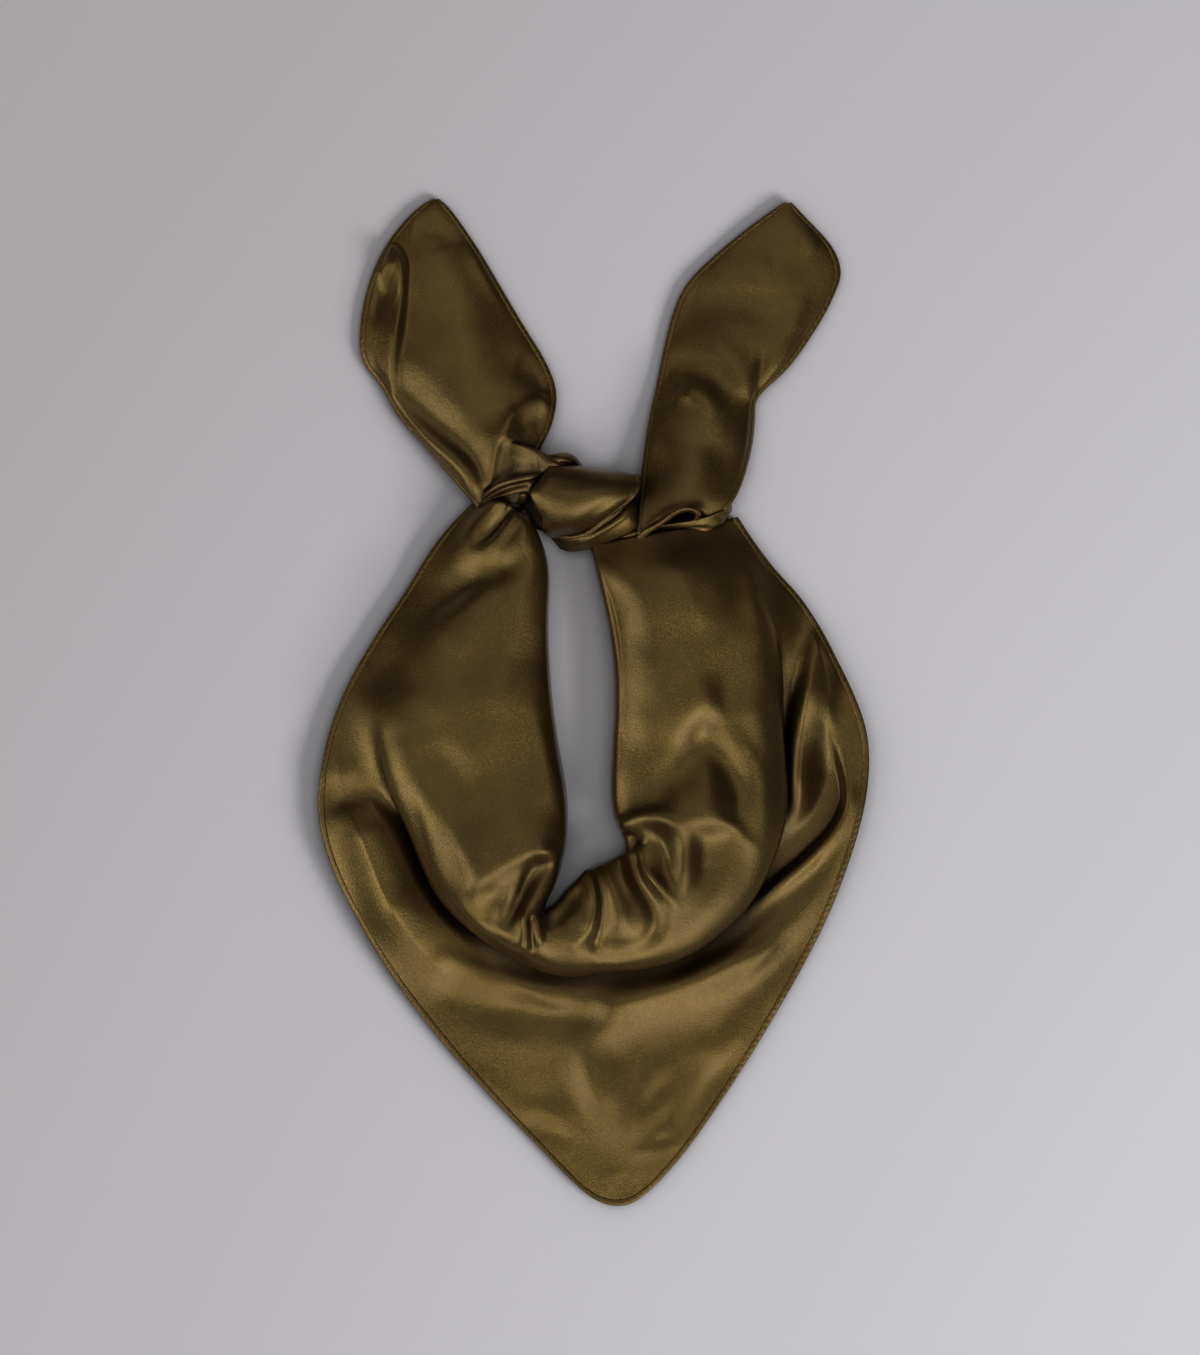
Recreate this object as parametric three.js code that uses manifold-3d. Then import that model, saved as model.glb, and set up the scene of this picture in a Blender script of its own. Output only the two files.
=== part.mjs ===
// Satin scarf, tied and laid flat
//
// A square of satin is folded corner to corner and its long edge is rolled into a puffed band.
// The band goes once round the neck gap, both ends meet in a knot, and two short tails stand up
// from it. The two layers of the triangle's point hang below as a bib, and the whole thing lies
// flat on its back. Millimetres, +Z up, +Y towards the tails.
//
// The scarf is one cloth, so it is one mesh. Its sheets are worked out round the knot's centre
// and moved to the middle of the part's box at the end.

import * as THREE from 'three';
import { mergeVertices } from 'three/addons/utils/BufferGeometryUtils.js';
import Module from 'manifold-3d';

// Driving dimensions
const CLOTH = 1.0;            // thickness of one modelled layer
const LAYER_GAP = 1.2;        // air between two layers that lie on each other
const SHOULDER_WIDTH = 275;   // widest part of the drape
const DRAPE_LENGTH = 347.5;   // knot's centre to the tip of the bib
const BAND_HEIGHT = 26;       // crown of the puffed band
const TUCK = 13;              // how far the bib runs back under the band's lip
const KNOT_WIDTH = 120;
const KNOT_DEPTH = 48;
const KNOT_HEIGHT = 30;
const STRAP_THICKNESS = 4.5;  // packed cloth in each of the knot's straps
const LEFT_TAIL = 155;        // root to tip
const RIGHT_TAIL = 153;
const TAIL_HEIGHT = 16;       // how far a tail's middle stands off the surface

// Fineness of the mesh
const STATIONS = 56;          // sections round the neck gap
const TAIL_STEPS = 16;
const TAIL_ACROSS = 8;
const STRAP_STEPS = 10;
const STRAP_ACROSS = 4;
const CORE_SIDES = 16;

// Sections of the drape, from the left mouth of the knot round to the right one.
// Places are hundredths: x of SHOULDER_WIDTH, down of DRAPE_LENGTH, both from the knot's centre.
// Lip is where the band ends, in hundredths of the way from inner to outer edge. Fold is how far
// the cloth turns under that lip. Crown and hem are hundredths of BAND_HEIGHT.
const DRAPE_COLUMNS = ['innerX', 'innerDown', 'outerX', 'outerDown', 'lip', 'fold', 'crown', 'hem'];
const DRAPE = [
  [-11.3, 7.2, -30.9, 4.0, 74, 0, 76, 26],
  [-11.5, 15.1, -37.3, 12.2, 72, 0, 80, 20],
  [-11.3, 22.3, -44.0, 20.1, 72, 5, 86, 20],
  [-10.5, 29.5, -49.8, 29.1, 72, 30, 92, 26],
  [-9.3, 35.5, -52.5, 38.1, 70, 70, 96, 30],
  [-8.0, 41.7, -52.7, 44.9, 64.5, 100, 98, 28],
  [-8.2, 47.2, -50.2, 51.8, 62.5, 100, 98, 22],
  [-9.2, 51.5, -45.8, 58.7, 60, 100, 98, 16],
  [-10.4, 54.2, -39.6, 66.9, 50, 100, 98, 12],
  [-11.7, 56.4, -30.9, 76.0, 37, 100, 100, 9],
  [-11.9, 57.4, -20.4, 85.3, 28.8, 100, 100, 9],
  [-10.7, 57.0, -10.4, 93.5, 26.2, 100, 98, 9],
  [-8.9, 55.6, -3.6, 98.7, 26, 100, 98, 9],
  [-7.9, 54.5, 1.5, 100, 27.2, 100, 98, 9],
  [-6.1, 53.2, 6.0, 98.6, 29, 100, 98, 9],
  [-4.2, 51.9, 12.7, 93.1, 34.5, 100, 98, 9],
  [-1.8, 50.9, 19.3, 85.8, 42.5, 100, 96, 10],
  [0.5, 50.2, 25.1, 78.8, 50, 100, 94, 12],
  [2.3, 49.2, 30.9, 71.1, 57.5, 100, 92, 14],
  [2.9, 47.8, 36.7, 62.9, 64, 100, 92, 17],
  [2.1, 46.2, 41.5, 54.5, 68, 100, 94, 22],
  [0.9, 43.9, 45.1, 46.0, 69.5, 100, 96, 28],
  [0.4, 40.0, 46.7, 39.6, 68.5, 100, 98, 32],
  [0.7, 34.5, 46.7, 32.8, 66.5, 90, 98, 32],
  [1.1, 28.2, 44.3, 26.8, 70, 70, 96, 28],
  [0.9, 21.9, 40.2, 20.3, 80, 35, 92, 24],
  [-0.4, 15.1, 35.0, 13.1, 84, 10, 86, 22],
  [-2.2, 9.4, 28.3, 7.4, 82, 0, 80, 24],
];

// The two mouths, where the band goes into the knot: hundredths of the knot's width and depth.
const MOUTH_COLUMNS = ['innerX', 'innerDown', 'outerX', 'outerDown', 'lip', 'fold', 'crown', 'hem'];
const LEFT_MOUTH = [-29, 10, -54, -13, 74, 0, 62, 20];
const RIGHT_MOUTH = [-8, 36, 53, 8, 80, 0, 62, 20];

// Folds that show on the upper layer. Three points each, in hundredths like the sections, then the
// width in hundredths of SHOULDER_WIDTH and the height in hundredths of BAND_HEIGHT.
const FOLD_COLUMNS = ['x0', 'down0', 'x1', 'down1', 'x2', 'down2', 'width', 'height'];
const FOLDS = [
  // Left arm
  [-13.6, 9.8, -23.6, 12.7, -34.5, 16.1, 2.0, -15],
  [-28.2, 18.7, -32.7, 24.5, -37.8, 30.9, 5.0, 12],
  [-32.7, 32.4, -27.3, 33.8, -20.0, 34.5, 3.0, -13],
  [-37.5, 29.5, -38.5, 38.1, -36.4, 47.5, 1.8, 12],
  [-12.7, 25.9, -11.3, 33.1, -9.1, 41.7, 1.8, 10],
  [-25.5, 41.7, -18.2, 46.0, -9.1, 48.9, 2.6, -19],
  [-29.1, 55.0, -20.0, 52.1, -11.8, 48.6, 1.7, 14],
  // Gathers under the neck gap
  [-12.7, 48.9, -13.5, 54.0, -16.0, 58.3, 1.7, 12],
  [-12.2, 56.8, -15.5, 59.7, -19.1, 62.6, 1.6, -17],
  [-11.3, 59.7, -15.5, 62.6, -19.1, 65.5, 1.6, 12],
  [-3.6, 51.1, -3.3, 56.1, -7.3, 64.7, 1.8, 12],
  [2.7, 50.6, 4.5, 56.1, 1.8, 61.2, 1.8, 9],
  [5.5, 48.9, 7.3, 53.2, 11.3, 56.8, 1.6, 12],
  [-8.2, 54.7, -6.9, 57.6, -9.1, 62.6, 1.8, -12],
  [3.6, 48.6, 8.2, 48.9, 14.5, 51.8, 1.8, -15],
  // Right arm, with a raised chevron
  [2.2, 8.6, 3.3, 24.5, 2.5, 41.7, 1.8, 10],
  [17.5, 28.5, 13.6, 33.8, 6.9, 40.6, 1.8, 14],
  [17.5, 28.5, 24.5, 36.0, 26.9, 46.0, 1.8, 14],
  [5.5, 41.7, 14.5, 38.1, 23.6, 41.0, 3.3, -19],
  [4.7, 44.3, 10.0, 43.5, 16.4, 44.9, 1.8, 12],
  [23.6, 18.7, 29.1, 33.1, 30.5, 43.2, 2.2, 12],
  // Bib
  [34.9, 18.7, 33.6, 25.9, 33.1, 31.7, 1.8, 8],
  [38.5, 36.0, 35.5, 48.9, 29.1, 54.0, 2.9, -10],
  [44.5, 34.5, 43.6, 44.6, 38.2, 51.8, 2.5, 13],
  [38.2, 51.8, 28.2, 60.4, 16.4, 65.5, 2.9, 12],
  [16.4, 65.5, 6.4, 71.7, -1.8, 74.8, 2.9, 10],
  [-50.9, 48.9, -38.2, 64.7, -20.0, 70.5, 3.3, 12],
  [-3.6, 74.1, -0.5, 80.6, 4.5, 91.4, 2.5, 16],
  [3.6, 76.3, 8.2, 79.9, 10.0, 84.9, 3.6, -8],
];

// Shape of one section, from the lower hem round the inner edge and over the crown to the upper
// hem. Where the cloth lies open, open is the share of the way out and openRise the share of the
// height between hem and crown. Where it is folded, band, tuck and bib are shares of the way to
// the lip, of TUCK back under it and of the way from the lip to the hem, and rise is a share of
// the crown. The back layer lies on the surface up to its turn at the inner edge.
const BACK_LAYER = [
  { run: 0.985, rise: 0 },
  { run: 0.72, rise: 0 },
  { run: 0.30, rise: 0 },
  { run: 0.07, rise: 0 },
  { run: 0.0, rise: 0.16 },
];
const FRONT_LAYER = [
  // The inner edge and the crown
  { open: 0.0, openRise: 0.28, band: 0.0, tuck: 0, bib: 0, rise: 0.44 },
  { open: 0.05, openRise: 0.75, band: 0.08, tuck: 0, bib: 0, rise: 0.80 },
  { open: 0.22, openRise: 1.00, band: 0.35, tuck: 0, bib: 0, rise: 1.00 },
  { open: 0.44, openRise: 0.98, band: 0.70, tuck: 0, bib: 0, rise: 0.94 },
  { open: 0.58, openRise: 0.85, band: 0.92, tuck: 0, bib: 0, rise: 0.72 },
  // The lip and the turn under it
  { open: 0.67, openRise: 0.70, band: 1.0, tuck: 0, bib: 0, rise: 0.47 },
  { open: 0.74, openRise: 0.56, band: 1.0, tuck: 0.25, bib: 0, rise: 0.31 },
  { open: 0.80, openRise: 0.43, band: 1.0, tuck: 1.0, bib: 0, rise: 0.22 },
  { open: 0.85, openRise: 0.31, band: 1.0, tuck: 0.35, bib: 0, rise: 0.14 },
  // The bib out to its hem
  { open: 0.90, openRise: 0.20, band: 1.0, tuck: 0, bib: 0.15, rise: 0.15 },
  { open: 0.95, openRise: 0.10, band: 1.0, tuck: 0, bib: 0.55, rise: 0.17 },
  { open: 1.0, openRise: 0.0, band: 1.0, tuck: 0, bib: 1.0, rise: 0.10 },
];
const LIP_NOSE = 5;           // rows of the front layer, counted from the inner edge
const HIDDEN_FOLD = 7;
const HEM_FOLD_SHARE = 0.3;   // how much of a fold reaches the hem
const ARCH_FULLNESS = 0.8;    // under 1 makes a puffed strip fuller at its edges
const FOLD_POINTS = 16;       // points along each fold's curve
const STEPS_BETWEEN = [1, 2, 1, 2, 2, 2, 2, 3, 2, 2, 1, 1, 1, 2, 3, 3];

// Tails as rows of two edge points from the tip to the root. Sideways and up are hundredths of the
// tail's length from its root, the heights and the puff between the edges of TAIL_HEIGHT.
const TAIL_COLUMNS = ['leftX', 'leftUp', 'leftHeight', 'rightX', 'rightUp', 'rightHeight', 'puff'];
const LEFT_TAIL_ROWS = [
  [-18.6, 100, 9, -16.4, 100, 9, 0],
  [-25.2, 95.2, 9, -11.9, 95.5, 9, 12],
  [-33.5, 84.8, 12, -3.5, 83.2, 12, 38],
  [-39.0, 72.3, 16, 3.2, 71.9, 12, 56],
  [-41.6, 58.7, 16, 11.0, 58.7, 16, 69],
  [-41.0, 48.4, 16, 17.4, 48.4, 22, 75],
  [-34.8, 39.7, 19, 21.3, 38.1, 31, 69],
  [-29.0, 29.4, 25, 20.0, 27.7, 44, 56],
  [-21.9, 21.6, 38, 16.1, 19.4, 50, 50],
  [-14.5, 12.9, 50, 14.2, 12.9, 56, 38],
  [-9.0, 6.5, 56, 12.3, 7.1, 62, 25],
  [-3.9, 0.6, 56, 10.3, 1.9, 56, 12],
];
const RIGHT_TAIL_ROWS = [
  [35.3, 100, 9, 37.6, 100, 9, 0],
  [28.4, 95.4, 9, 42.5, 94.8, 9, 12],
  [19.9, 88.9, 12, 50.7, 85.9, 12, 31],
  [11.4, 81.7, 12, 53.6, 77.8, 16, 50],
  [3.3, 73.2, 16, 51.6, 70.6, 19, 62],
  [-1.3, 62.7, 16, 46.4, 60.5, 22, 69],
  [-4.2, 50.7, 16, 36.6, 46.4, 25, 62],
  [-6.2, 40.8, 19, 26.5, 36.9, 31, 62],
  [-8.5, 30.7, 25, 25.5, 29.7, 31, 69],
  [-10.1, 20.9, 38, 24.5, 20.6, 38, 69],
  [-11.4, 10.5, 56, 21.6, 9.5, 50, 62],
  [-12.4, 0.7, 81, 18.0, 2.0, 69, 44],
  [-13.1, -8.5, 94, 13.1, -3.9, 69, 19],
];
const LEFT_ROOT = -0.50;      // place of each tail's root, a share of KNOT_WIDTH
const RIGHT_ROOT = 0.275;

// Folds along the tails, in hundredths like the tails' own points.
const TAIL_FOLD_COLUMNS = ['x0', 'up0', 'x1', 'up1', 'x2', 'up2', 'width', 'height'];
const LEFT_TAIL_FOLDS = [
  [-36.1, 83.9, -28.4, 74.2, -29.7, 58.1, 3.2, 26],
  [-29.7, 58.1, -30.3, 46.0, -31.3, 37.1, 3.2, 26],
  [-5.5, 74.2, -8.4, 50.0, -1.9, 29.0, 3.6, 24],
  [4.8, 23.9, 9.7, 30.6, 17.7, 34.5, 2.6, 26],
  [-16.1, 54.8, -17.7, 38.7, -6.5, 17.7, 3.2, -22],
];
const RIGHT_TAIL_FOLDS = [
  [25.8, 36.9, 18.3, 47.1, 7.8, 55.6, 3.6, -30],
  [41.2, 59.5, 35.9, 49.7, 28.4, 40.8, 2.6, 26],
  [14.4, 75.2, 7.2, 52.3, 1.3, 31.4, 3.9, 24],
  [-5.2, 39.2, -5.9, 22.9, -3.3, 9.8, 2.6, 22],
];

// The knot's straps as rows of two edge points. Sideways is hundredths of KNOT_WIDTH, down of
// KNOT_DEPTH, both from the knot's centre, and heights and puff are of KNOT_HEIGHT.
const STRAP_COLUMNS = ['leftX', 'leftDown', 'leftHeight', 'rightX', 'rightDown', 'rightHeight', 'puff'];
const STRAPS = {
  wrap: [
    [-20.8, -39.6, 27, 10.8, -31.1, 27, 0],
    [-24.2, -42.8, 50, 11.2, -33.4, 47, 7],
    [-29.2, -32.3, 80, 10.0, -24.0, 80, 13],
    [-33.3, -13.5, 87, 5.0, -7.3, 90, 13],
    [-30.4, 3.1, 80, -1.2, 11.5, 80, 13],
    [-26.7, 18.8, 60, -7.5, 26.0, 60, 10],
    [-24.6, 31.3, 34, -14.2, 34.5, 34, 7],
    [-23.5, 31.1, 20, -15.0, 33.2, 20, 0],
  ],
  hemStrand: [
    [12.5, -37.5, 47, 15.0, -18.8, 47, 0],
    [10.8, -27.1, 73, 14.6, -7.3, 67, 3],
    [6.7, -10.4, 82, 12.9, 8.3, 67, 7],
    [0.0, 11.5, 75, 7.5, 26.0, 53, 7],
    [-7.5, 28.1, 53, 0.0, 37.5, 37, 7],
    [-14.6, 37.5, 34, -7.5, 41.8, 27, 3],
    [-20.0, 39.6, 24, -15.0, 42.8, 20, 0],
  ],
  rightStrand: [
    [-5.8, 25.0, 36, -5.0, 36.5, 24, 0],
    [2.5, 27.1, 50, 3.3, 39.6, 26, 10],
    [13.8, 25.0, 60, 13.8, 39.6, 27, 13],
    [25.8, 18.8, 67, 25.8, 37.5, 27, 13],
    [37.5, 10.4, 67, 38.3, 30.2, 30, 13],
    [45.8, -0.5, 60, 45.8, 15.7, 30, 10],
    [49.0, -11.6, 36, 49.4, -2.1, 26, 3],
  ],
  leftStrap: [
    [-59.2, -7.3, 20, -55.4, 1.0, 22, 0],
    [-52.5, -17.7, 40, -49.6, -9.4, 43, 3],
    [-44.6, -27.1, 60, -41.7, -15.6, 67, 7],
    [-36.7, -34.4, 70, -35.4, -17.7, 77, 7],
    [-28.7, -38.5, 70, -30.4, -22.9, 77, 7],
    [-21.7, -37.5, 60, -23.8, -22.9, 63, 0],
  ],
  leftFacet: [
    [-47.1, -66.0, 24, -51.7, -18.8, 24, 0],
    [-42.9, -67.5, 43, -47.1, -22.9, 40, 10],
    [-35.0, -62.5, 53, -39.2, -28.1, 53, 10],
    [-27.1, -56.0, 60, -31.2, -33.4, 60, 10],
    [-20.0, -52.5, 60, -23.3, -38.6, 60, 10],
    [-14.6, -49.2, 47, -16.4, -38.7, 50, 7],
    [-12.0, -42.0, 27, -14.3, -36.5, 27, 0],
  ],
};

// The packed cloth inside the knot, as shares of its width, depth and height.
const CORE = { wide: 0.50, deep: 0.36, tall: 0.37, middle: 0.40 };

const wasm = await Module();
wasm.setup();

// Small helpers

function nameColumns(rows, columns) {
  return rows.map((row) => Object.fromEntries(columns.map((column, place) => [column, row[place]])));
}

function mix(from, to, share) {
  return from + (to - from) * share;
}

// A smooth value along a list of numbers, at a share from 0 to 1 of the list.
function smooth(values, share) {
  const last = values.length - 1;
  const place = Math.min(share * last, last - 1e-9);
  const step = Math.floor(place);
  const part = place - step;
  const here = values[step];
  const next = values[step + 1];
  const before = values[Math.max(step - 1, 0)];
  const after = values[Math.min(step + 2, last)];
  const leave = (next - before) / 2;
  const arrive = (after - here) / 2;
  const part2 = part * part;
  const part3 = part2 * part;
  return (2 * part3 - 3 * part2 + 1) * here + (part3 - 2 * part2 + part) * leave
    + (3 * part2 - 2 * part3) * next + (part3 - part2) * arrive;
}

function smoothRow(rows, columns, share) {
  const valueOf = (column) => smooth(rows.map((row) => row[column]), share);
  return Object.fromEntries(columns.map((column) => [column, valueOf(column)]));
}

// A closed solid round a grid of points: one skin moved out along the normals, one moved in.
function sheetSolid(grid, outward, inward) {
  const rows = grid.length;
  const across = grid[0].length;
  const positions = [];
  const along = new THREE.Vector3();
  const aside = new THREE.Vector3();
  for (const offset of [outward, -inward]) {
    for (let i = 0; i < rows; i += 1) {
      for (let j = 0; j < across; j += 1) {
        along.subVectors(grid[Math.min(i + 1, rows - 1)][j], grid[Math.max(i - 1, 0)][j]);
        aside.subVectors(grid[i][Math.min(j + 1, across - 1)], grid[i][Math.max(j - 1, 0)]);
        const normal = along.cross(aside).normalize();
        positions.push(...grid[i][j].clone().addScaledVector(normal, offset).toArray());
      }
    }
  }
  const index = [];
  const outer = (i, j) => i * across + j;
  const inner = (i, j) => rows * across + i * across + j;
  const quad = (a, b, c, d) => index.push(a, b, c, a, c, d);
  for (let i = 0; i < rows - 1; i += 1) {
    for (let j = 0; j < across - 1; j += 1) {
      quad(outer(i, j), outer(i + 1, j), outer(i + 1, j + 1), outer(i, j + 1));
      quad(inner(i, j), inner(i, j + 1), inner(i + 1, j + 1), inner(i + 1, j));
    }
    quad(outer(i + 1, 0), outer(i, 0), inner(i, 0), inner(i + 1, 0));
    quad(outer(i, across - 1), outer(i + 1, across - 1), inner(i + 1, across - 1), inner(i, across - 1));
  }
  for (let j = 0; j < across - 1; j += 1) {
    quad(outer(0, j), outer(0, j + 1), inner(0, j + 1), inner(0, j));
    quad(outer(rows - 1, j + 1), outer(rows - 1, j), inner(rows - 1, j), inner(rows - 1, j + 1));
  }
  const geometry = new THREE.BufferGeometry();
  geometry.setAttribute('position', new THREE.Float32BufferAttribute(positions, 3));
  geometry.setIndex(index);
  return geometry;
}

function toManifold(geometry) {
  const bare = geometry.clone();
  bare.deleteAttribute('normal');
  bare.deleteAttribute('uv');
  const merged = mergeVertices(bare, 1e-4);
  return new wasm.Manifold(new wasm.Mesh({
    numProp: 3,
    vertProperties: new Float32Array(merged.attributes.position.array),
    triVerts: new Uint32Array(merged.index.array),
  }));
}

// Height that the folds add at a place in plan. Each fold is a soft ridge or valley along a curve.
function makeFolds(rows, columns, placeOf, widthUnit, heightUnit) {
  return nameColumns(rows, columns).map((row) => {
    const [start, middle, end] = [0, 1, 2].map((place) => placeOf(row, place));
    const curve = new THREE.SplineCurve([start, middle, end]);
    return {
      points: curve.getPoints(FOLD_POINTS),
      width: row.width / 100 * widthUnit,
      height: row.height / 100 * heightUnit,
    };
  });
}

function foldHeight(folds, x, y) {
  let height = 0;
  for (const fold of folds) {
    let nearest = Infinity;
    for (const point of fold.points) {
      nearest = Math.min(nearest, (point.x - x) ** 2 + (point.y - y) ** 2);
    }
    height += fold.height * Math.exp(-nearest / (fold.width * fold.width));
  }
  return height;
}

// The drape: the puffed band round the neck gap, with the bib below it

const drapeFolds = makeFolds(FOLDS, FOLD_COLUMNS, (row, place) => new THREE.Vector2(
  row[`x${place}`] / 100 * SHOULDER_WIDTH,
  -row[`down${place}`] / 100 * DRAPE_LENGTH,
), SHOULDER_WIDTH, BAND_HEIGHT);

function drapeRow(row, width, length) {
  return {
    innerX: row.innerX / 100 * width,
    innerY: -row.innerDown / 100 * length,
    outerX: row.outerX / 100 * width,
    outerY: -row.outerDown / 100 * length,
    lip: row.lip / 100,
    fold: row.fold / 100,
    crown: row.crown / 100 * BAND_HEIGHT,
    hem: row.hem / 100 * BAND_HEIGHT,
  };
}

const drapeRows = [
  ...nameColumns([LEFT_MOUTH], MOUTH_COLUMNS).map((row) => drapeRow(row, KNOT_WIDTH, KNOT_DEPTH)),
  ...nameColumns(DRAPE, DRAPE_COLUMNS).map((row) => drapeRow(row, SHOULDER_WIDTH, DRAPE_LENGTH)),
  ...nameColumns([RIGHT_MOUTH], MOUTH_COLUMNS).map((row) => drapeRow(row, KNOT_WIDTH, KNOT_DEPTH)),
];

// Way out and height of each control point of one section.
function sectionOutline(row, reach) {
  const floor = CLOTH / 2;
  const lip = row.lip * reach;
  const back = BACK_LAYER.map(({ run, rise }) => ({ out: run * reach, height: floor + rise * row.crown }));
  const front = FRONT_LAYER.map((point, place) => {
    const isHem = place === FRONT_LAYER.length - 1;
    const openHeight = mix(row.hem, row.crown, point.openRise);
    const folded = lip * point.band - TUCK * point.tuck + (reach - lip) * point.bib;
    return {
      out: mix(point.open * reach, folded, row.fold),
      height: isHem ? row.hem : mix(openHeight, point.rise * row.crown, row.fold),
    };
  });
  return [...back, ...front];
}

// How much of the folds a control point takes: none on the back layer and in the turn under the lip.
function foldShare(place, row) {
  const front = place - BACK_LAYER.length;
  if (front < 1) return 0;
  if (front < LIP_NOSE - 1) return 1;
  if (front < HIDDEN_FOLD + 2) return mix(1, 0, row.fold);
  return front === FRONT_LAYER.length - 1 ? HEM_FOLD_SHARE : 1;
}

function drapeSection(row) {
  const inner = new THREE.Vector2(row.innerX, row.innerY);
  const outer = new THREE.Vector2(row.outerX, row.outerY);
  const reach = inner.distanceTo(outer);
  const outline = sectionOutline(row, reach);
  const curve = new THREE.CatmullRomCurve3(
    outline.map(({ out, height }) => new THREE.Vector3(out, 0, height)),
    false,
    'centripetal',
  );
  const lowest = CLOTH / 2 + CLOTH + LAYER_GAP;
  const points = [];
  STEPS_BETWEEN.forEach((steps, place) => {
    const isLast = place === STEPS_BETWEEN.length - 1;
    for (let step = 0; step < steps + (isLast ? 1 : 0); step += 1) {
      const along = place + step / steps;
      const spot = curve.getPoint(along / STEPS_BETWEEN.length);
      const plan = inner.clone().lerp(outer, spot.x / reach);
      const near = foldShare(Math.floor(along), row);
      const far = foldShare(Math.min(Math.floor(along) + 1, STEPS_BETWEEN.length), row);
      const share = mix(near, far, along % 1);
      let height = spot.z;
      if (share > 0) {
        height = Math.max(height + share * foldHeight(drapeFolds, plan.x, plan.y), lowest);
      }
      points.push(new THREE.Vector3(plan.x, plan.y, height));
    }
  });
  return points;
}

function makeDrape() {
  const columns = Object.keys(drapeRows[0]);
  const grid = [];
  for (let station = 0; station <= STATIONS; station += 1) {
    grid.push(drapeSection(smoothRow(drapeRows, columns, station / STATIONS)));
  }
  return sheetSolid(grid, CLOTH / 2, CLOTH / 2);
}

// A strip between two edges, puffed up between them

function stripGrid(rows, columns, steps, across, placeOf, folds) {
  const named = nameColumns(rows, columns);
  const grid = [];
  for (let step = 0; step <= steps; step += 1) {
    const row = smoothRow(named, columns, step / steps);
    const { left, right, puff } = placeOf(row);
    const line = [];
    for (let side = 0; side <= across; side += 1) {
      const share = side / across;
      const point = left.clone().lerp(right, share);
      const arch = Math.sin(Math.PI * share) ** ARCH_FULLNESS;
      point.z += puff * arch;
      point.z += arch * foldHeight(folds, point.x, point.y);
      line.push(point);
    }
    grid.push(line);
  }
  return grid;
}

function makeTail(rows, foldRows, length, root) {
  const rootX = root * KNOT_WIDTH;
  const toPoint = (x, up, height) => new THREE.Vector3(
    rootX + x / 100 * length,
    up / 100 * length,
    Math.max(height / 100 * TAIL_HEIGHT, CLOTH),
  );
  const folds = makeFolds(foldRows, TAIL_FOLD_COLUMNS, (row, place) => new THREE.Vector2(
    rootX + row[`x${place}`] / 100 * length,
    row[`up${place}`] / 100 * length,
  ), length, TAIL_HEIGHT);
  const grid = stripGrid(rows, TAIL_COLUMNS, TAIL_STEPS, TAIL_ACROSS, (row) => ({
    left: toPoint(row.leftX, row.leftUp, row.leftHeight),
    right: toPoint(row.rightX, row.rightUp, row.rightHeight),
    puff: row.puff / 100 * TAIL_HEIGHT,
  }), folds);
  return sheetSolid(grid, CLOTH / 2, CLOTH / 2);
}

// The knot: straps of packed cloth round a solid core

function makeStrap(rows) {
  const toPoint = (x, down, height) => new THREE.Vector3(
    x / 100 * KNOT_WIDTH,
    -down / 100 * KNOT_DEPTH,
    height / 100 * KNOT_HEIGHT,
  );
  const grid = stripGrid(rows, STRAP_COLUMNS, STRAP_STEPS, STRAP_ACROSS, (row) => ({
    left: toPoint(row.leftX, row.leftDown, row.leftHeight),
    right: toPoint(row.rightX, row.rightDown, row.rightHeight),
    puff: row.puff / 100 * KNOT_HEIGHT,
  }), []);
  return sheetSolid(grid, 0, STRAP_THICKNESS);
}

function makeCore() {
  const geometry = new THREE.SphereGeometry(1, CORE_SIDES, CORE_SIDES / 2);
  geometry.rotateX(Math.PI / 2);
  geometry.scale(CORE.wide * KNOT_WIDTH, CORE.deep * KNOT_DEPTH, CORE.tall * KNOT_HEIGHT);
  geometry.translate(0, 0, CORE.middle * KNOT_HEIGHT);
  return geometry;
}

// All the sheets of the one cloth, joined

const sheets = [
  makeDrape(),
  makeTail(LEFT_TAIL_ROWS, LEFT_TAIL_FOLDS, LEFT_TAIL, LEFT_ROOT),
  makeTail(RIGHT_TAIL_ROWS, RIGHT_TAIL_FOLDS, RIGHT_TAIL, RIGHT_ROOT),
  ...Object.values(STRAPS).map(makeStrap),
  makeCore(),
];
const joined = sheets.map(toManifold).reduce((whole, sheet) => whole.add(sheet));

// Pockets that are closed on all sides fill up with cloth: only the outer skin is kept.
const skin = joined.decompose().reduce((best, body) => (body.volume() > best.volume() ? body : best));
const { vertProperties, triVerts } = skin.getMesh();

const cloth = new THREE.BufferGeometry();
cloth.setAttribute('position', new THREE.BufferAttribute(vertProperties, 3));
cloth.setIndex(new THREE.BufferAttribute(triVerts, 1));
cloth.computeBoundingBox();
const middle = cloth.boundingBox.getCenter(new THREE.Vector3());
cloth.translate(-middle.x, -middle.y, -cloth.boundingBox.min.z);
cloth.computeVertexNormals();

const scarf = new THREE.Mesh(cloth, new THREE.MeshStandardMaterial({
  color: '#4d4023',
  roughness: 0.4,
  metalness: 0.3,
}));
scarf.name = 'satin_scarf';

const part = new THREE.Group();
part.add(scarf);

export default part;
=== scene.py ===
# %% [markdown]
# # A satin scarf, folded, rolled, knotted and laid flat
# This lesson dresses one CAD solid, a tied square scarf, with cloth that looks like polyester satin.
# The real scarf is one thin square. It is folded corner to corner, its long edge is rolled into a
# soft band, and its two ends are tied so that their corners stand up like ears.
# Blender has no tool that ties a scarf, so each sheet is a grid of points that follows a short
# table of sections. Soft ridges and valleys are then added where the photograph shows them.

# %% Load the frame
import math

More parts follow.
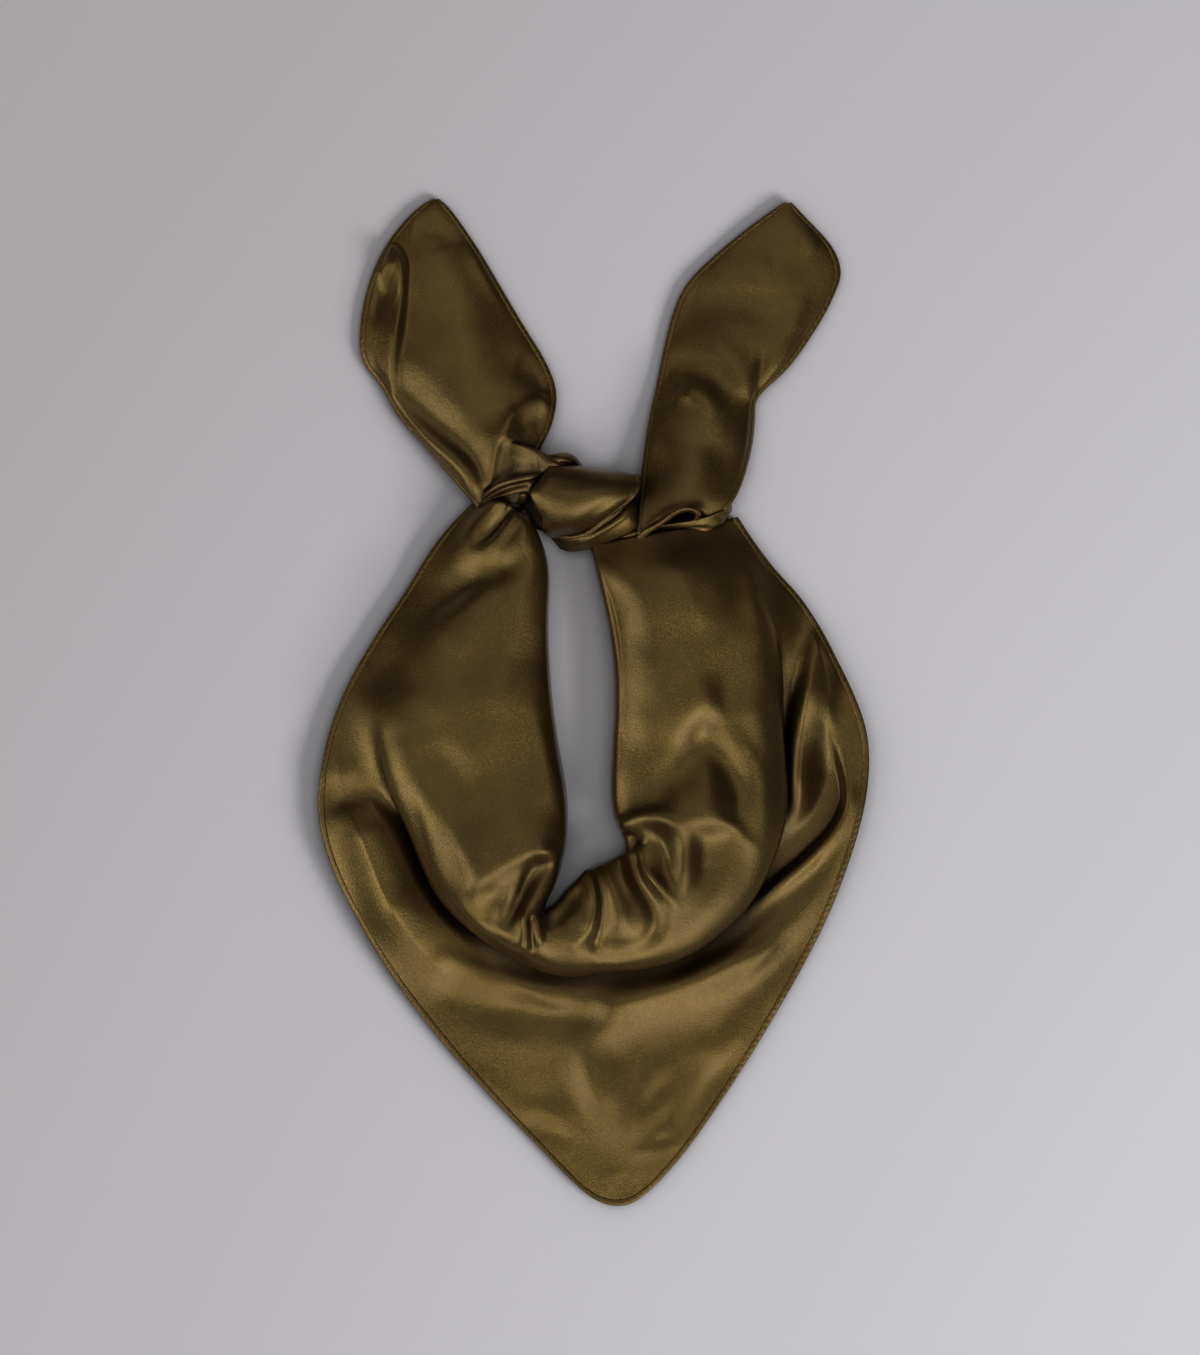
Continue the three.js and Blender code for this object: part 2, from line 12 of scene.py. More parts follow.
import bpy
import numpy as np
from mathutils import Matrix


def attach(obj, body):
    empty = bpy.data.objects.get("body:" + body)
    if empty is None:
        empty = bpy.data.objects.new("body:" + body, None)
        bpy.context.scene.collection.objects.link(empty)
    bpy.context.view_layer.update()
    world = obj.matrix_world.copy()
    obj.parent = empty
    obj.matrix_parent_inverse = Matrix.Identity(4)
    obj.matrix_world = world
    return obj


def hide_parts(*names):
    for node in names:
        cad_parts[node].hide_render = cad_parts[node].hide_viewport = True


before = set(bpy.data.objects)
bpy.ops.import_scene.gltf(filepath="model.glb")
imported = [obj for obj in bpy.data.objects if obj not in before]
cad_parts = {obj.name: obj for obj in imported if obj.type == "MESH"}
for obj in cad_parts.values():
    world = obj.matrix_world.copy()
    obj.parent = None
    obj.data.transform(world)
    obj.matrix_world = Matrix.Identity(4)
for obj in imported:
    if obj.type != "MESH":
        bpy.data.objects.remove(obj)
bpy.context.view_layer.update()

# %% Sizes
MM = 0.001
SHOULDER_WIDTH = 275.0     # widest part of the drape
DRAPE_LENGTH = 347.5       # knot's centre to the tip of the bib
BAND_HEIGHT = 26.0         # crown of the puffed band
TUCK = 13.0                # how far the bib runs back under the band's lip
KNOT_WIDTH = 120.0
KNOT_DEPTH = 48.0
KNOT_HEIGHT = 30.0
LEFT_TAIL = 155.0
RIGHT_TAIL = 153.0
TAIL_HEIGHT = 16.0
KNOT_X = 8.32              # the knot's centre in the frame
KNOT_Y = 96.19
CLOTH = 0.5                # two turns of real satin, drawn as one layer
LAYER_GAP = 1.2
BACK_LAYER_HEIGHT = 0.5    # middle of the lower layer over the surface
print("One photo pixel is 0.5 mm, the scarf lies", SHOULDER_WIDTH, "mm wide")

# %% [markdown]
# ## Helpers for cloth made of sections
# A table holds one row for each section. A Catmull-Rom curve runs smoothly through the rows, and a
# second light blur takes out the small jumps in curvature, which satin would show as kinks.


# %% Smooth rows
def curve(t, here, leave, arrive, after):
    """A cubic from one point to the next that leaves and arrives with given slopes."""
    return (
        (2 * t**3 - 3 * t**2 + 1) * here
        + (t**3 - 2 * t**2 + t) * leave
        + (3 * t**2 - 2 * t**3) * after
        + (t**3 - t**2) * arrive
    )


def through(rows, count):
    """A smooth curve through the rows of a table, sampled at count even places."""
    rows = np.asarray(rows, float)
    last = len(rows) - 1
    place = np.linspace(0, last, count)
    step = np.minimum(place.astype(int), last - 1)
    part = (place - step)[:, None]
    here, after = rows[step], rows[step + 1]
    leave = (after - rows[np.maximum(step - 1, 0)]) / 2
    arrive = (rows[np.minimum(step + 2, last)] - here) / 2
    return curve(part, here, leave, arrive, after)


def blur(values, radius, axis=0):
    """A Gaussian blur along one axis that leaves both ends where they are."""
    reach = int(3 * radius)
    weights = np.exp(-0.5 * (np.arange(-reach, reach + 1) / radius) ** 2)
    weights /= weights.sum()
    moved = np.moveaxis(np.asarray(values, float), axis, 0)
    first, last = moved[:1], moved[-1:]
    ahead = 2 * first - moved[reach:0:-1]
    behind = 2 * last - moved[-2 : -reach - 2 : -1]
    padded = np.concatenate([ahead, moved, behind])
    result = sum(w * padded[i : i + len(moved)] for i, w in enumerate(weights))
    return np.moveaxis(result, 0, axis)


def along_controls(controls, steps):
    """Centripetal Catmull-Rom curves through control points, one curve for each section."""
    before = 2 * controls[:, :1] - controls[:, 1:2]
    behind = 2 * controls[:, -1:] - controls[:, -2:-1]
    points = np.concatenate([before, controls, behind], axis=1)
    gaps = np.maximum(np.linalg.norm(np.diff(points, axis=1), axis=2) ** 0.5, 1e-4)[:, :, None]
    pieces = []
    for k, count in enumerate(steps):
        a, b, c, d = (points[:, k + n] for n in range(4))
        ab, bc, cd = (gaps[:, k + n] for n in range(3))
        leave = ((b - a) / ab - (c - a) / (ab + bc) + (c - b) / bc) * bc
        arrive = ((c - b) / bc - (d - b) / (bc + cd) + (d - c) / cd) * bc
        last = k == len(steps) - 1
        for t in np.arange(count + (1 if last else 0)) / count:
            pieces.append(curve(t, b, leave, arrive, c))
    return np.stack(pieces, axis=1)


def soften(grid):
    """Takes the last small steps out of a grid of points, both ways."""
    for axis in (0, 1):
        grid = blur(grid, 0.7, axis)
    return grid


def way_along(line):
    """How far each point of a line lies along it."""
    return np.concatenate([[0], np.cumsum(np.linalg.norm(np.diff(line, axis=0), axis=1))])


def grid_normals(grid):
    """Unit normals of a grid of points."""
    down = np.gradient(grid, axis=0)
    across = np.gradient(grid, axis=1)
    normals = np.cross(down, across)
    return normals / np.maximum(np.linalg.norm(normals, axis=2, keepdims=True), 1e-12)


# %% [markdown]
# ## Folds
# A fold is a soft ridge or valley that runs along a short curve. On each side it has its own width,
# because cloth that is pushed from one side stands steep there and runs out gently on the other.
# Its height fades at both ends, so that no fold stops dead.
# The places were read off the photograph, in its pixels, of which one is half a millimetre.


# %% Places in the photograph
def from_photo(points):
    """From photo pixels to millimetres round the knot's centre."""
    points = np.asarray(points, float)
    return np.stack([(points[..., 0] - 610) / 2, (510 - points[..., 1]) / 2], axis=-1)


# %% Fold heights
def path_distance(x, y, path):
    """Distance from places in plan to a path, which side each one lies on, and how far along."""
    best = np.full(x.shape, np.inf)
    side = np.zeros(x.shape)
    share = np.zeros(x.shape)
    for k in range(len(path) - 1):
        (x0, y0), (x1, y1) = path[k], path[k + 1]
        dx, dy = x1 - x0, y1 - y0
        t = np.clip(((x - x0) * dx + (y - y0) * dy) / (dx * dx + dy * dy), 0, 1)
        away_x, away_y = x - x0 - t * dx, y - y0 - t * dy
        distance = away_x**2 + away_y**2
        nearer = distance < best
        best = np.where(nearer, distance, best)
        turn = (dx * away_y - dy * away_x) / (math.hypot(dx, dy) * np.sqrt(distance) + 1e-9)
        side = np.where(nearer, turn, side)
        share = np.where(nearer, (k + t) / (len(path) - 1), share)
    return np.sqrt(best), side, share


def fold_heights(x, y, folds):
    """Height in mm that all the folds add at places in plan, also in mm."""
    total = np.zeros(x.shape)
    for points, (left, right), height, (start, end), crease in folds:
        path = through(from_photo(points), 6 * len(points))
        reach = 3.2 * max(left, right)
        low, high = path.min(axis=0) - reach, path.max(axis=0) + reach
        near = (x > low[0]) & (x < high[0]) & (y > low[1]) & (y < high[1])
        if not near.any():
            continue
        distance, side, share = path_distance(x[near], y[near], path)
        ratio = distance / ((left + right) / 2 + (left - right) / 2 * side)
        soft = np.exp(-(ratio**2))
        sharp = np.exp(0.3 - np.sqrt(0.09 + (1.9 * ratio) ** 2))
        fade = np.interp(share, [0, 0.3, 0.7, 1], [start, 1, 1, end])
        total[near] += height * fade * (crease * sharp + (1 - crease) * soft)
    return total


def ripples(x, y, size, height, seed):
    """Small irregular waves in mm, because no real cloth lies dead flat between its folds."""
    rng = np.random.default_rng(seed)
    total = np.zeros(x.shape)
    for _ in range(18):
        turn, length = rng.uniform(0, 2 * np.pi), size * rng.uniform(0.7, 1.6)
        phase = rng.uniform(0, 2 * np.pi)
        total += np.cos(2 * np.pi * (x * np.cos(turn) + y * np.sin(turn)) / length + phase)
    return total * height / 3


# %% [markdown]
# ## From a grid of points to a sheet of cloth
# The cloth gets its thickness here: one skin above the grid, one below, and a rim that closes them.
# The UV map turns the plan by 45 degrees, because the threads of a square that is folded corner to
# corner run along its two free edges and so slantwise to the band.


# %% Sheets
def put_in_scene(name, data):
    piece = bpy.data.objects.new(name, data)
    bpy.context.scene.collection.objects.link(piece)
    return piece


def on_the_cross(points):
    """The plan turned by 45 degrees, in metres, as the threads run."""
    return np.stack([points[:, 0] + points[:, 1], points[:, 1] - points[:, 0]], axis=1) / math.sqrt(2)


def mesh_piece(name, points, faces, uvs=None):
    mesh = bpy.data.meshes.new(name)
    mesh.from_pydata([tuple(p) for p in points], [], faces)
    mesh.update()
    for polygon in mesh.polygons:
        polygon.use_smooth = True
    if uvs is not None:
        layer = mesh.uv_layers.new(name="cloth")
        index = np.empty(len(mesh.loops), dtype=np.int32)
        mesh.loops.foreach_get("vertex_index", index)
        layer.data.foreach_set("uv", np.asarray(uvs, np.float32)[index].ravel())
    print(name, "has", len(mesh.polygons), "faces")
    return put_in_scene(name, mesh)


def in_frame(grid):
    """From millimetres round the knot's centre to metres in the frame."""
    return (grid + np.array([KNOT_X, KNOT_Y, 0.0])) * MM


def sheet_piece(name, grid, thickness=CLOTH, flat=None):
    """A closed sheet. The flat map is in metres; without one it is the plan turned by 45 degrees."""
    rows, across = grid.shape[:2]
    normals = grid_normals(grid)
    upper = in_frame(grid + normals * thickness / 2).reshape(-1, 3)
    lower = in_frame(grid - normals * thickness / 2).reshape(-1, 3)
    number = np.arange(rows * across).reshape(rows, across)
    a, b, c, d = number[:-1, :-1], number[1:, :-1], number[1:, 1:], number[:-1, 1:]
    top = np.stack([a, b, c, d], axis=-1).reshape(-1, 4)
    skip = rows * across
    bottom = top[:, ::-1] + skip
    faces = [*top.tolist(), *bottom.tolist()]
    ring = [*number[:, 0], *number[-1, 1:], *number[-2::-1, -1], *number[0, -2:0:-1]]
    for here, following in zip(ring, ring[1:] + ring[:1]):
        faces.append([int(following), int(here), int(here) + skip, int(following) + skip])
    points = np.concatenate([upper, lower])
    uvs = on_the_cross(points) if flat is None else np.concatenate([flat.reshape(-1, 2)] * 2)
    return mesh_piece(name, points, faces, uvs)


# %% [markdown]
# ## The drape
# The band and the bib are one fold of cloth round the neck gap. Each section starts at the lower
# hem, runs in along the surface, turns up at the inner edge, goes over the crown and down to the
# lip, tucks under it, and runs out again to the upper hem.

# %% Sections of the drape
# Each row: inner x, inner down, outer x, outer down, lip, fold, crown and hem, all in hundredths.
# x is of the shoulder width, down of the drape's length, lip of the way out, fold of the whole tuck,
# crown and hem of the band's height. In the two mouths, x and down are of the knot's width and depth.
LEFT_MOUTH = [-35, 0, -54, -13, 74, 0, 80, 22]
RIGHT_MOUTH = [-8, 36, 53, 8, 80, 0, 58, 20]
DRAPE = [
    [-11.3, 7.2, -30.9, 4.0, 74, 0, 84, 26],
    [-11.5, 15.1, -37.3, 12.2, 72, 0, 86, 20],
    [-11.3, 22.3, -44.0, 20.1, 72, 5, 86, 20],
    [-10.5, 29.5, -49.8, 29.1, 72, 2, 92, 24],
    [-9.3, 35.5, -52.5, 38.1, 70, 30, 96, 26],
    [-8.0, 41.7, -52.7, 44.9, 65, 85, 98, 24],
    [-8.2, 47.2, -50.2, 51.8, 63, 100, 98, 20],
    [-9.2, 51.5, -45.8, 58.7, 60, 100, 98, 16],
    [-10.4, 54.2, -39.6, 66.9, 50, 100, 98, 15],
    [-11.7, 56.4, -30.9, 76.0, 37, 100, 100, 15],
    [-11.9, 57.4, -20.4, 85.3, 28.8, 100, 100, 15],
    [-10.7, 57.0, -10.4, 93.5, 26.2, 100, 98, 15],
    [-8.9, 55.6, -3.6, 98.7, 26, 100, 98, 15],
    [-7.9, 54.5, 1.5, 100, 27.2, 100, 98, 15],
    [-6.1, 53.2, 6.0, 98.6, 29, 100, 98, 15],
    [-4.2, 51.9, 12.7, 93.1, 34.5, 100, 98, 15],
    [-1.8, 50.9, 19.3, 85.8, 42.5, 100, 96, 15],
    [0.5, 50.2, 25.1, 78.8, 50, 100, 94, 15],
    [2.3, 49.2, 30.9, 71.1, 57.5, 100, 92, 15],
    [2.9, 47.8, 36.7, 62.9, 64, 100, 92, 17],
    [2.1, 46.2, 41.5, 54.5, 68, 100, 94, 22],
    [0.9, 43.9, 45.1, 46.0, 69.5, 100, 96, 28],
    [0.4, 40.0, 46.7, 39.6, 68.5, 100, 98, 32],
    [0.7, 34.5, 46.7, 32.8, 66.5, 90, 98, 32],
    [1.1, 28.2, 44.3, 26.8, 70, 70, 96, 28],
    [0.9, 21.9, 40.2, 20.3, 80, 35, 96, 24],
    [-0.4, 15.1, 35.0, 13.1, 84, 10, 94, 22],
    [-2.2, 9.4, 28.3, 7.4, 82, 0, 86, 24],
]

# The back layer as (share of the way out, share of the crown), then the front layer as
# (open out, open rise, band, tuck, bib, folded rise).
BACK_LAYER = [(0.985, 0), (0.72, 0), (0.30, 0), (0.07, 0), (0.0, 0.16)]
FRONT_LAYER = [
    (0.0, 0.56, 0.0, 0, 0, 0.58),
    (0.018, 0.76, 0.03, 0, 0, 0.78),
    (0.16, 1.00, 0.28, 0, 0, 1.00),
    (0.44, 0.98, 0.70, 0, 0, 0.94),
    (0.58, 0.85, 0.92, 0, 0, 0.72),
    (0.67, 0.70, 1.0, 0, 0, 0.47),
    (0.74, 0.56, 1.0, 0.25, 0, 0.31),
    (0.80, 0.43, 1.0, 1.0, 0, 0.22),
    (0.85, 0.31, 1.0, 0.35, 0, 0.14),
    (0.90, 0.20, 1.0, 0, 0.15, 0.15),
    (0.95, 0.10, 1.0, 0, 0.55, 0.17),
    (1.0, 0.0, 1.0, 0, 1.0, 0.10),
]
STATIONS = 340
STEPS = [3, 4, 4, 3, 4, 5, 8, 14, 10, 6, 4, 5, 5, 8, 22, 24]
LIP_NOSE = 5
HIDDEN_FOLD = 7

# %% Folds of the left arm
# Points in the photograph, widths in mm to the left and right of the way along, height in mm (below
# nought for a valley), what is left of it at the start and at the end, and how sharp the crease is.
LEFT_ARM_FOLDS = [
    # Pleat that runs out of the knot
    ([(524, 500), (505, 514), (490, 530), (476, 546)], (4, 4), -6, (1, 0.1), 0.3),
    ([(512, 496), (495, 507), (478, 527), (465, 548)], (3, 4), 0.6, (0.6, 0.1), 0.1),
    ([(526, 512), (516, 530), (500, 548)], (3, 3), -2.4, (1, 0.1), 0.2),
    # Valley that curves from the inner edge to the outer one
    ([(532, 566), (505, 568), (475, 580), (448, 598), (424, 616)], (7, 9), -4.2, (0.2, 0.1), 0.05),
    ([(505, 606), (470, 618), (440, 644), (420, 682), (408, 722),
      (402, 752)], (15, 18), 1.6, (0.2, 0.5), 0),
    # Dark middle of the crown
    ([(430, 742), (442, 775), (455, 808)], (14, 9), -1.6, (0.3, 0.3), 0),
    ([(440, 700), (480, 694), (510, 700)], (12, 12), 1.6, (0.3, 0.3), 0),
    # Sharp ridge over the lip
    ([(390, 738), (396, 768), (402, 800), (408, 835), (414, 870), (430, 900), (455, 928),
      (485, 948), (512, 958)], (16, 6), 7, (0.3, 0.2), 0.1),
    # Inner edge
    ([(535, 690), (541, 730), (548, 765), (555, 795), (559, 808)], (3.6, 6), 2, (0.1, 0.5), 0.1),
    # The arch that turns into a loop, with its slit
    ([(455, 889), (478, 880), (500, 865), (522, 853), (541, 848)], (24, 6), 4.4, (0.1, 1), 0.1),
    ([(541, 848), (550, 858), (549, 874), (540, 890), (526, 908)], (3.6, 3.8), 2.2, (1, 0.5), 0.1),
    ([(538, 862), (529, 880), (519, 900), (508, 920)], (3.4, 3.4), -5, (0.6, 0.3), 0.2),
    ([(505, 884), (492, 906), (488, 930)], (6, 7), -2.6, (0.3, 0.3), 0),
    ([(458, 904), (475, 922), (495, 938)], (4, 5), 2, (0.3, 0.3), 0),
]

# %% Folds of the gathers
GATHER_FOLDS = [
    ([(526, 916), (528, 930), (524, 945), (509, 953)], (3, 2.8), 2.4, (0.9, 0.2), 0.3),
    ([(531, 917), (532, 932), (534, 950)], (1.5, 1.5), -2.2, (1, 0.1), 0.3),
    ([(538, 918), (540, 930), (541, 944)], (2.2, 2.2), 1.5, (0.9, 0.1), 0.2),
    ([(544, 915), (558, 900), (572, 884), (587, 866)], (1.8, 3), 1.5, (0.8, 1), 0.3),
    ([(577, 884), (565, 905), (549, 928)], (5.8, 5.8), -2.2, (0.4, 0.2), 0),
    ([(588, 867), (595, 888), (596, 908), (588, 928), (568, 946)], (3.4, 4.1), 2.7, (0.9, 0.1), 0.3),
    ([(594, 868), (601, 890), (601, 920), (594, 946)], (3, 2.8), -2.4, (0.8, 0.1), 0.1),
    ([(604, 868), (614, 890), (620, 915), (620, 940)], (5.8, 5.2), 2.2, (0.2, 0.1), 0),
    ([(620, 859), (624, 875), (633, 895)], (3, 3), 1.7, (0.9, 0.1), 0.2),
    ([(633, 852), (638, 878), (650, 898), (655, 920), (645, 942),
      (620, 953)], (4.6, 4.6), -2.8, (0.9, 0.3), 0),
    ([(620, 953), (602, 950), (592, 934)], (4.6, 4.6), -1.7, (0.5, 0.1), 0),
    ([(639, 847), (645, 868), (658, 884), (674, 902)], (3.4, 3.4), 2.7, (0.9, 0.2), 0.3),
    ([(653, 831), (662, 848), (667, 870)], (4.1, 4.1), -3, (0.6, 0.5), 0),
    ([(650, 815), (673, 822), (684, 845), (682, 880), (672, 908)], (4.6, 4.6), 2.4, (0.4, 0.2), 0.1),
    ([(702, 822), (704, 850), (700, 888)], (10.3, 4.1), -2.2, (0.4, 0.2), 0.1),
    ([(611, 836), (627, 838), (643, 844)], (3.4, 3.4), -4.5, (1, 0.2), 0.2),
    ([(616, 829), (630, 820), (646, 813), (660, 811)], (3.4, 6.9), 3, (0.6, 0.6), 0.3),
    ([(590, 863), (605, 859), (620, 858), (632, 850), (643, 840),
      (648, 826)], (1.8, 2.3), 1.4, (0.8, 0.4), 0.3),
]

# %% Folds of the right arm
RIGHT_ARM_FOLDS = [
    # Hollow beside the lit edge of the neck gap
    ([(592, 556), (602, 590), (609, 620), (615, 655), (617, 700), (616, 745),
      (613, 785)], (14, 4), -2.8, (0.6, 0.6), 0),
    # Broad crown below the knot
    ([(655, 590), (700, 574), (740, 588)], (12, 22), 2.8, (0.3, 0.3), 0),
    ([(715, 650), (732, 680), (744, 710)], (12, 12), -1.8, (0.2, 0.2), 0),
    ([(738, 548), (749, 580), (757, 615), (762, 650)], (14, 6), 2.4, (0.3, 0.3), 0),
    ([(755, 650), (766, 685), (773, 720), (778, 760), (780, 800), (779, 840)], (4, 14), 3, (0.1, 0.6), 0),
    # Bowl with a chevron at its top
    ([(628, 804), (652, 790), (674, 770), (692, 752), (706, 744), (724, 754), (740, 774),
      (748, 800), (746, 828)], (15, 15), -7.5, (0.3, 0.5), 0),
    ([(660, 811), (682, 812), (706, 816), (728, 824)], (26, 9), 4.4, (0.4, 0.3), 0),
    ([(704, 697), (688, 725), (672, 752), (655, 778)], (6, 8), 2.2, (0.5, 0.3), 0),
    ([(704, 697), (724, 728), (743, 752), (757, 774), (764, 800), (765, 825),
      (757, 848)], (5, 8), 3.8, (0.3, 0.4), 0),
    ([(757, 846), (744, 838), (732, 825), (716, 815)], (3, 3), 1.8, (0.4, 0.3), 0.2),
]

# %% Folds of the bib
BIB_FOLDS = [
    # Between the left lip and the hem
    ([(350, 800), (360, 828), (376, 868), (400, 912), (432, 950)], (22, 17), 12.5, (0.1, 0.4), 0),
    ([(318, 777), (332, 776), (346, 774), (360, 767)], (6, 5), 1.2, (0.9, 0.1), 0),
    ([(352, 875), (378, 925), (408, 970), (440, 1004)], (12, 12), 3, (0.2, 0.2), 0),
    # Between the right lip and the hem
    ([(820, 630), (812, 660), (804, 695), (797, 730), (792, 770), (786, 810),
      (774, 848)], (18, 6), 10, (0.3, 0.3), 0),
    ([(824, 730), (834, 765), (836, 797), (822, 826), (798, 850), (772, 872),
      (744, 894)], (3.5, 16), -8, (0.2, 0.4), 0),
    ([(832, 740), (844, 776), (849, 803), (836, 830), (812, 856), (784, 880),
      (754, 904)], (5, 4), 4.5, (0.1, 0.4), 0.1),
    ([(806, 900), (776, 928), (740, 950)], (5, 5), -1.5, (0.3, 0.3), 0),
    ([(826, 652), (834, 664), (846, 680)], (3, 3), -1.6, (0.3, 0.3), 0),
    # The long sweep
    ([(845, 726), (856, 755), (859, 790), (855, 825), (842, 858), (822, 890), (795, 921),
      (760, 949), (715, 975), (665, 996), (615, 1012)], (14, 8), 4.6, (0.2, 0.4), 0),
    ([(818, 905), (797, 940), (771, 970), (742, 1003)], (8, 8), -1.6, (0.2, 0.2), 0),
    ([(803, 955), (782, 985), (763, 1010), (738, 1038), (715, 1060)], (8, 8), 1.2, (0.2, 0.3), 0),
    # Arcs under the lip
    ([(452, 962), (503, 979), (577, 993), (640, 989), (690, 977), (735, 953),
      (775, 918)], (5.5, 10), 4.2, (0.3, 0.3), 0),
    ([(410, 984), (450, 1000), (500, 1010), (560, 1014), (612, 1008),
      (662, 990)], (8, 8), -1.2, (0.2, 0.1), 0),
    ([(430, 1014), (480, 1030), (540, 1038), (600, 1030)], (9, 18), 1.1, (0.2, 0.6), 0),
    # Centre ridge, which hooks down towards the tip, and the hollow on its left
    ([(652, 1000), (618, 1012), (598, 1034), (592, 1060), (599, 1090), (614, 1118),
      (634, 1146)], (14, 9), 3.2, (0.2, 0.2), 0),
    ([(560, 1040), (548, 1062), (552, 1090), (566, 1114)], (9, 16), -1.0, (0.2, 0.2), 0),
    ([(670, 1060), (651, 1080), (637, 1108), (631, 1136)], (5, 5), 0.9, (0.2, 0.3), 0.1),
    ([(674, 1091), (656, 1108), (640, 1126)], (4, 4), 0.8, (0.3, 0.3), 0),
    ([(746, 1034), (718, 1047), (688, 1052)], (8, 8), 1.2, (0.3, 0.2), 0),
    ([(724, 1067), (705, 1090), (688, 1119)], (7, 4), -1.4, (0.6, 0.2), 0.2),
    # Small wrinkles near the tip
    ([(632, 1153), (655, 1150), (684, 1143)], (3, 1.6), 1.3, (0.4, 0.8), 0.4),
    ([(650, 1141), (663, 1131), (676, 1137), (673, 1147)], (1.4, 1.4), 1, (0.4, 0.4), 0.2),
    ([(672, 1117), (673, 1137)], (1.6, 1.6), 1.1, (0.4, 0.8), 0.2),
    ([(657, 1141), (669, 1139)], (2.4, 2.4), -1.3, (0.8, 0.8), 0),
    ([(596, 1180), (614, 1173), (634, 1167)], (1.5, 1.5), 0.9, (0.3, 0.3), 0.2),
    ([(602, 1191), (613, 1182)], (1.5, 1.5), 0.8, (0.4, 0.4), 0.2),
    ([(628, 1180), (641, 1171)], (1.4, 1.4), 0.7, (0.4, 0.4), 0.2),
    ([(515, 1113), (540, 1109), (566, 1116)], (5, 3), 1.5, (0.3, 0.2), 0.1),
    ([(524, 1130), (550, 1132), (574, 1141)], (3, 4), -1.6, (0.4, 0.2), 0),
    ([(478, 1070), (500, 1088), (520, 1112)], (4, 4), 1, (0.3, 0.3), 0),
]


# %% Drape
def drape_rows():
    heights = [1, 1, BAND_HEIGHT, BAND_HEIGHT]
    knot = np.array([KNOT_WIDTH, KNOT_DEPTH] * 2 + heights) / 100
    cloth = np.array([SHOULDER_WIDTH, DRAPE_LENGTH] * 2 + heights)
    rows = [np.array(LEFT_MOUTH) * knot]
    rows += [np.array(row) * cloth / 100 for row in DRAPE]
    rows += [np.array(RIGHT_MOUTH) * knot]
    return blur(through(rows, STATIONS), 0.3 * STATIONS / len(rows))


def drape_grid():
    rows = drape_rows()
    inner = rows[:, 0:2] * [1, -1]
    outer = rows[:, 2:4] * [1, -1]
    reach = np.linalg.norm(outer - inner, axis=1)
    lip = rows[:, 4] * reach
    fold, crown, hem = rows[:, 5], rows[:, 6], rows[:, 7]
    controls = [
        np.stack([run * reach, BACK_LAYER_HEIGHT + rise * crown], axis=1) for run, rise in BACK_LAYER
    ]
    for k, (open_out, open_rise, band, tuck, bib, rise) in enumerate(FRONT_LAYER):
        folded_out = lip * band - TUCK * tuck + (reach - lip) * bib
        out = (1 - fold) * open_out * reach + fold * folded_out
        height = (1 - fold) * (hem + open_rise * (crown - hem)) + fold * rise * crown
        if k == len(FRONT_LAYER) - 1:
            height = hem
        controls.append(np.stack([out, height], axis=1))
    spots = along_controls(np.stack(controls, axis=1), STEPS)
    way = spots[:, :, :1] / reach[:, None, None]
    plan = inner[:, None] * (1 - way) + outer[:, None] * way
    return np.concatenate([plan, spots[:, :, 1:]], axis=2), fold


def fold_weight(fold, on_bib):
    """How much of the band's folds, or of the bib's, each point of a section takes."""
    marks = []
    for place in range(len(BACK_LAYER) + len(FRONT_LAYER)):
        front = place - len(BACK_LAYER)
        if front < 1:
            mark = np.zeros_like(fold)
        elif front < LIP_NOSE - 1:
            mark = 1 - fold * on_bib
        elif front < HIDDEN_FOLD + 2:
            mark = 1 - fold
        else:
            mark = (1 - fold * (1 - on_bib)) * (0.4 if front == len(FRONT_LAYER) - 1 else 1)
        marks.append(mark)
    marks = np.stack(marks, axis=1)
    places = [k + n / count for k, count in enumerate(STEPS) for n in range(count)]
    places = np.array([*places, len(STEPS)])
    step = np.minimum(places.astype(int), len(STEPS) - 1)
    part = places - step
    return marks[:, step] * (1 - part) + marks[:, step + 1] * part


def soft_floor(height, lowest, softness=0.8):
    """Keeps a height over a lowest one with a soft turn."""
    above = height - lowest
    return lowest + (above + np.sqrt(above**2 + softness**2)) / 2


def make_drape():
    grid, fold = drape_grid()
    x, y = grid[:, :, 0], grid[:, :, 1]
    on_band, on_bib = fold_weight(fold, 0), fold_weight(fold, 1)
    lift = on_band * fold_heights(x, y, LEFT_ARM_FOLDS + GATHER_FOLDS + RIGHT_ARM_FOLDS)
    lift += on_bib * fold_heights(x, y, BIB_FOLDS)
    weight = np.maximum(on_band, on_bib)
    lift += weight * (ripples(x, y, 34, 0.3, 3) + ripples(x, y, 13, 0.05, 4))
    face = -grid_normals(grid)
    folded = grid + face * lift[:, :, None]
    lowest = BACK_LAYER_HEIGHT + CLOTH + LAYER_GAP
    front = weight > 0
    folded[:, :, 2] = np.where(front, soft_floor(folded[:, :, 2], lowest), folded[:, :, 2])
    return soften(folded)


drape = make_drape()
drape_low, drape_high = drape[:, :, 2].min(), drape[:, :, 2].max()
print("Drape grid", drape.shape, "from", drape_low.round(2), "to", drape_high.round(2), "mm")
drape_piece = sheet_piece("scarf_drape", drape)

# %% [markdown]
# ## The tails
# Each tail is a corner of the square that stands up from the knot. It is one layer, gathered at its
# root, so a row of the table gives its two edges and how much it puffs between them.

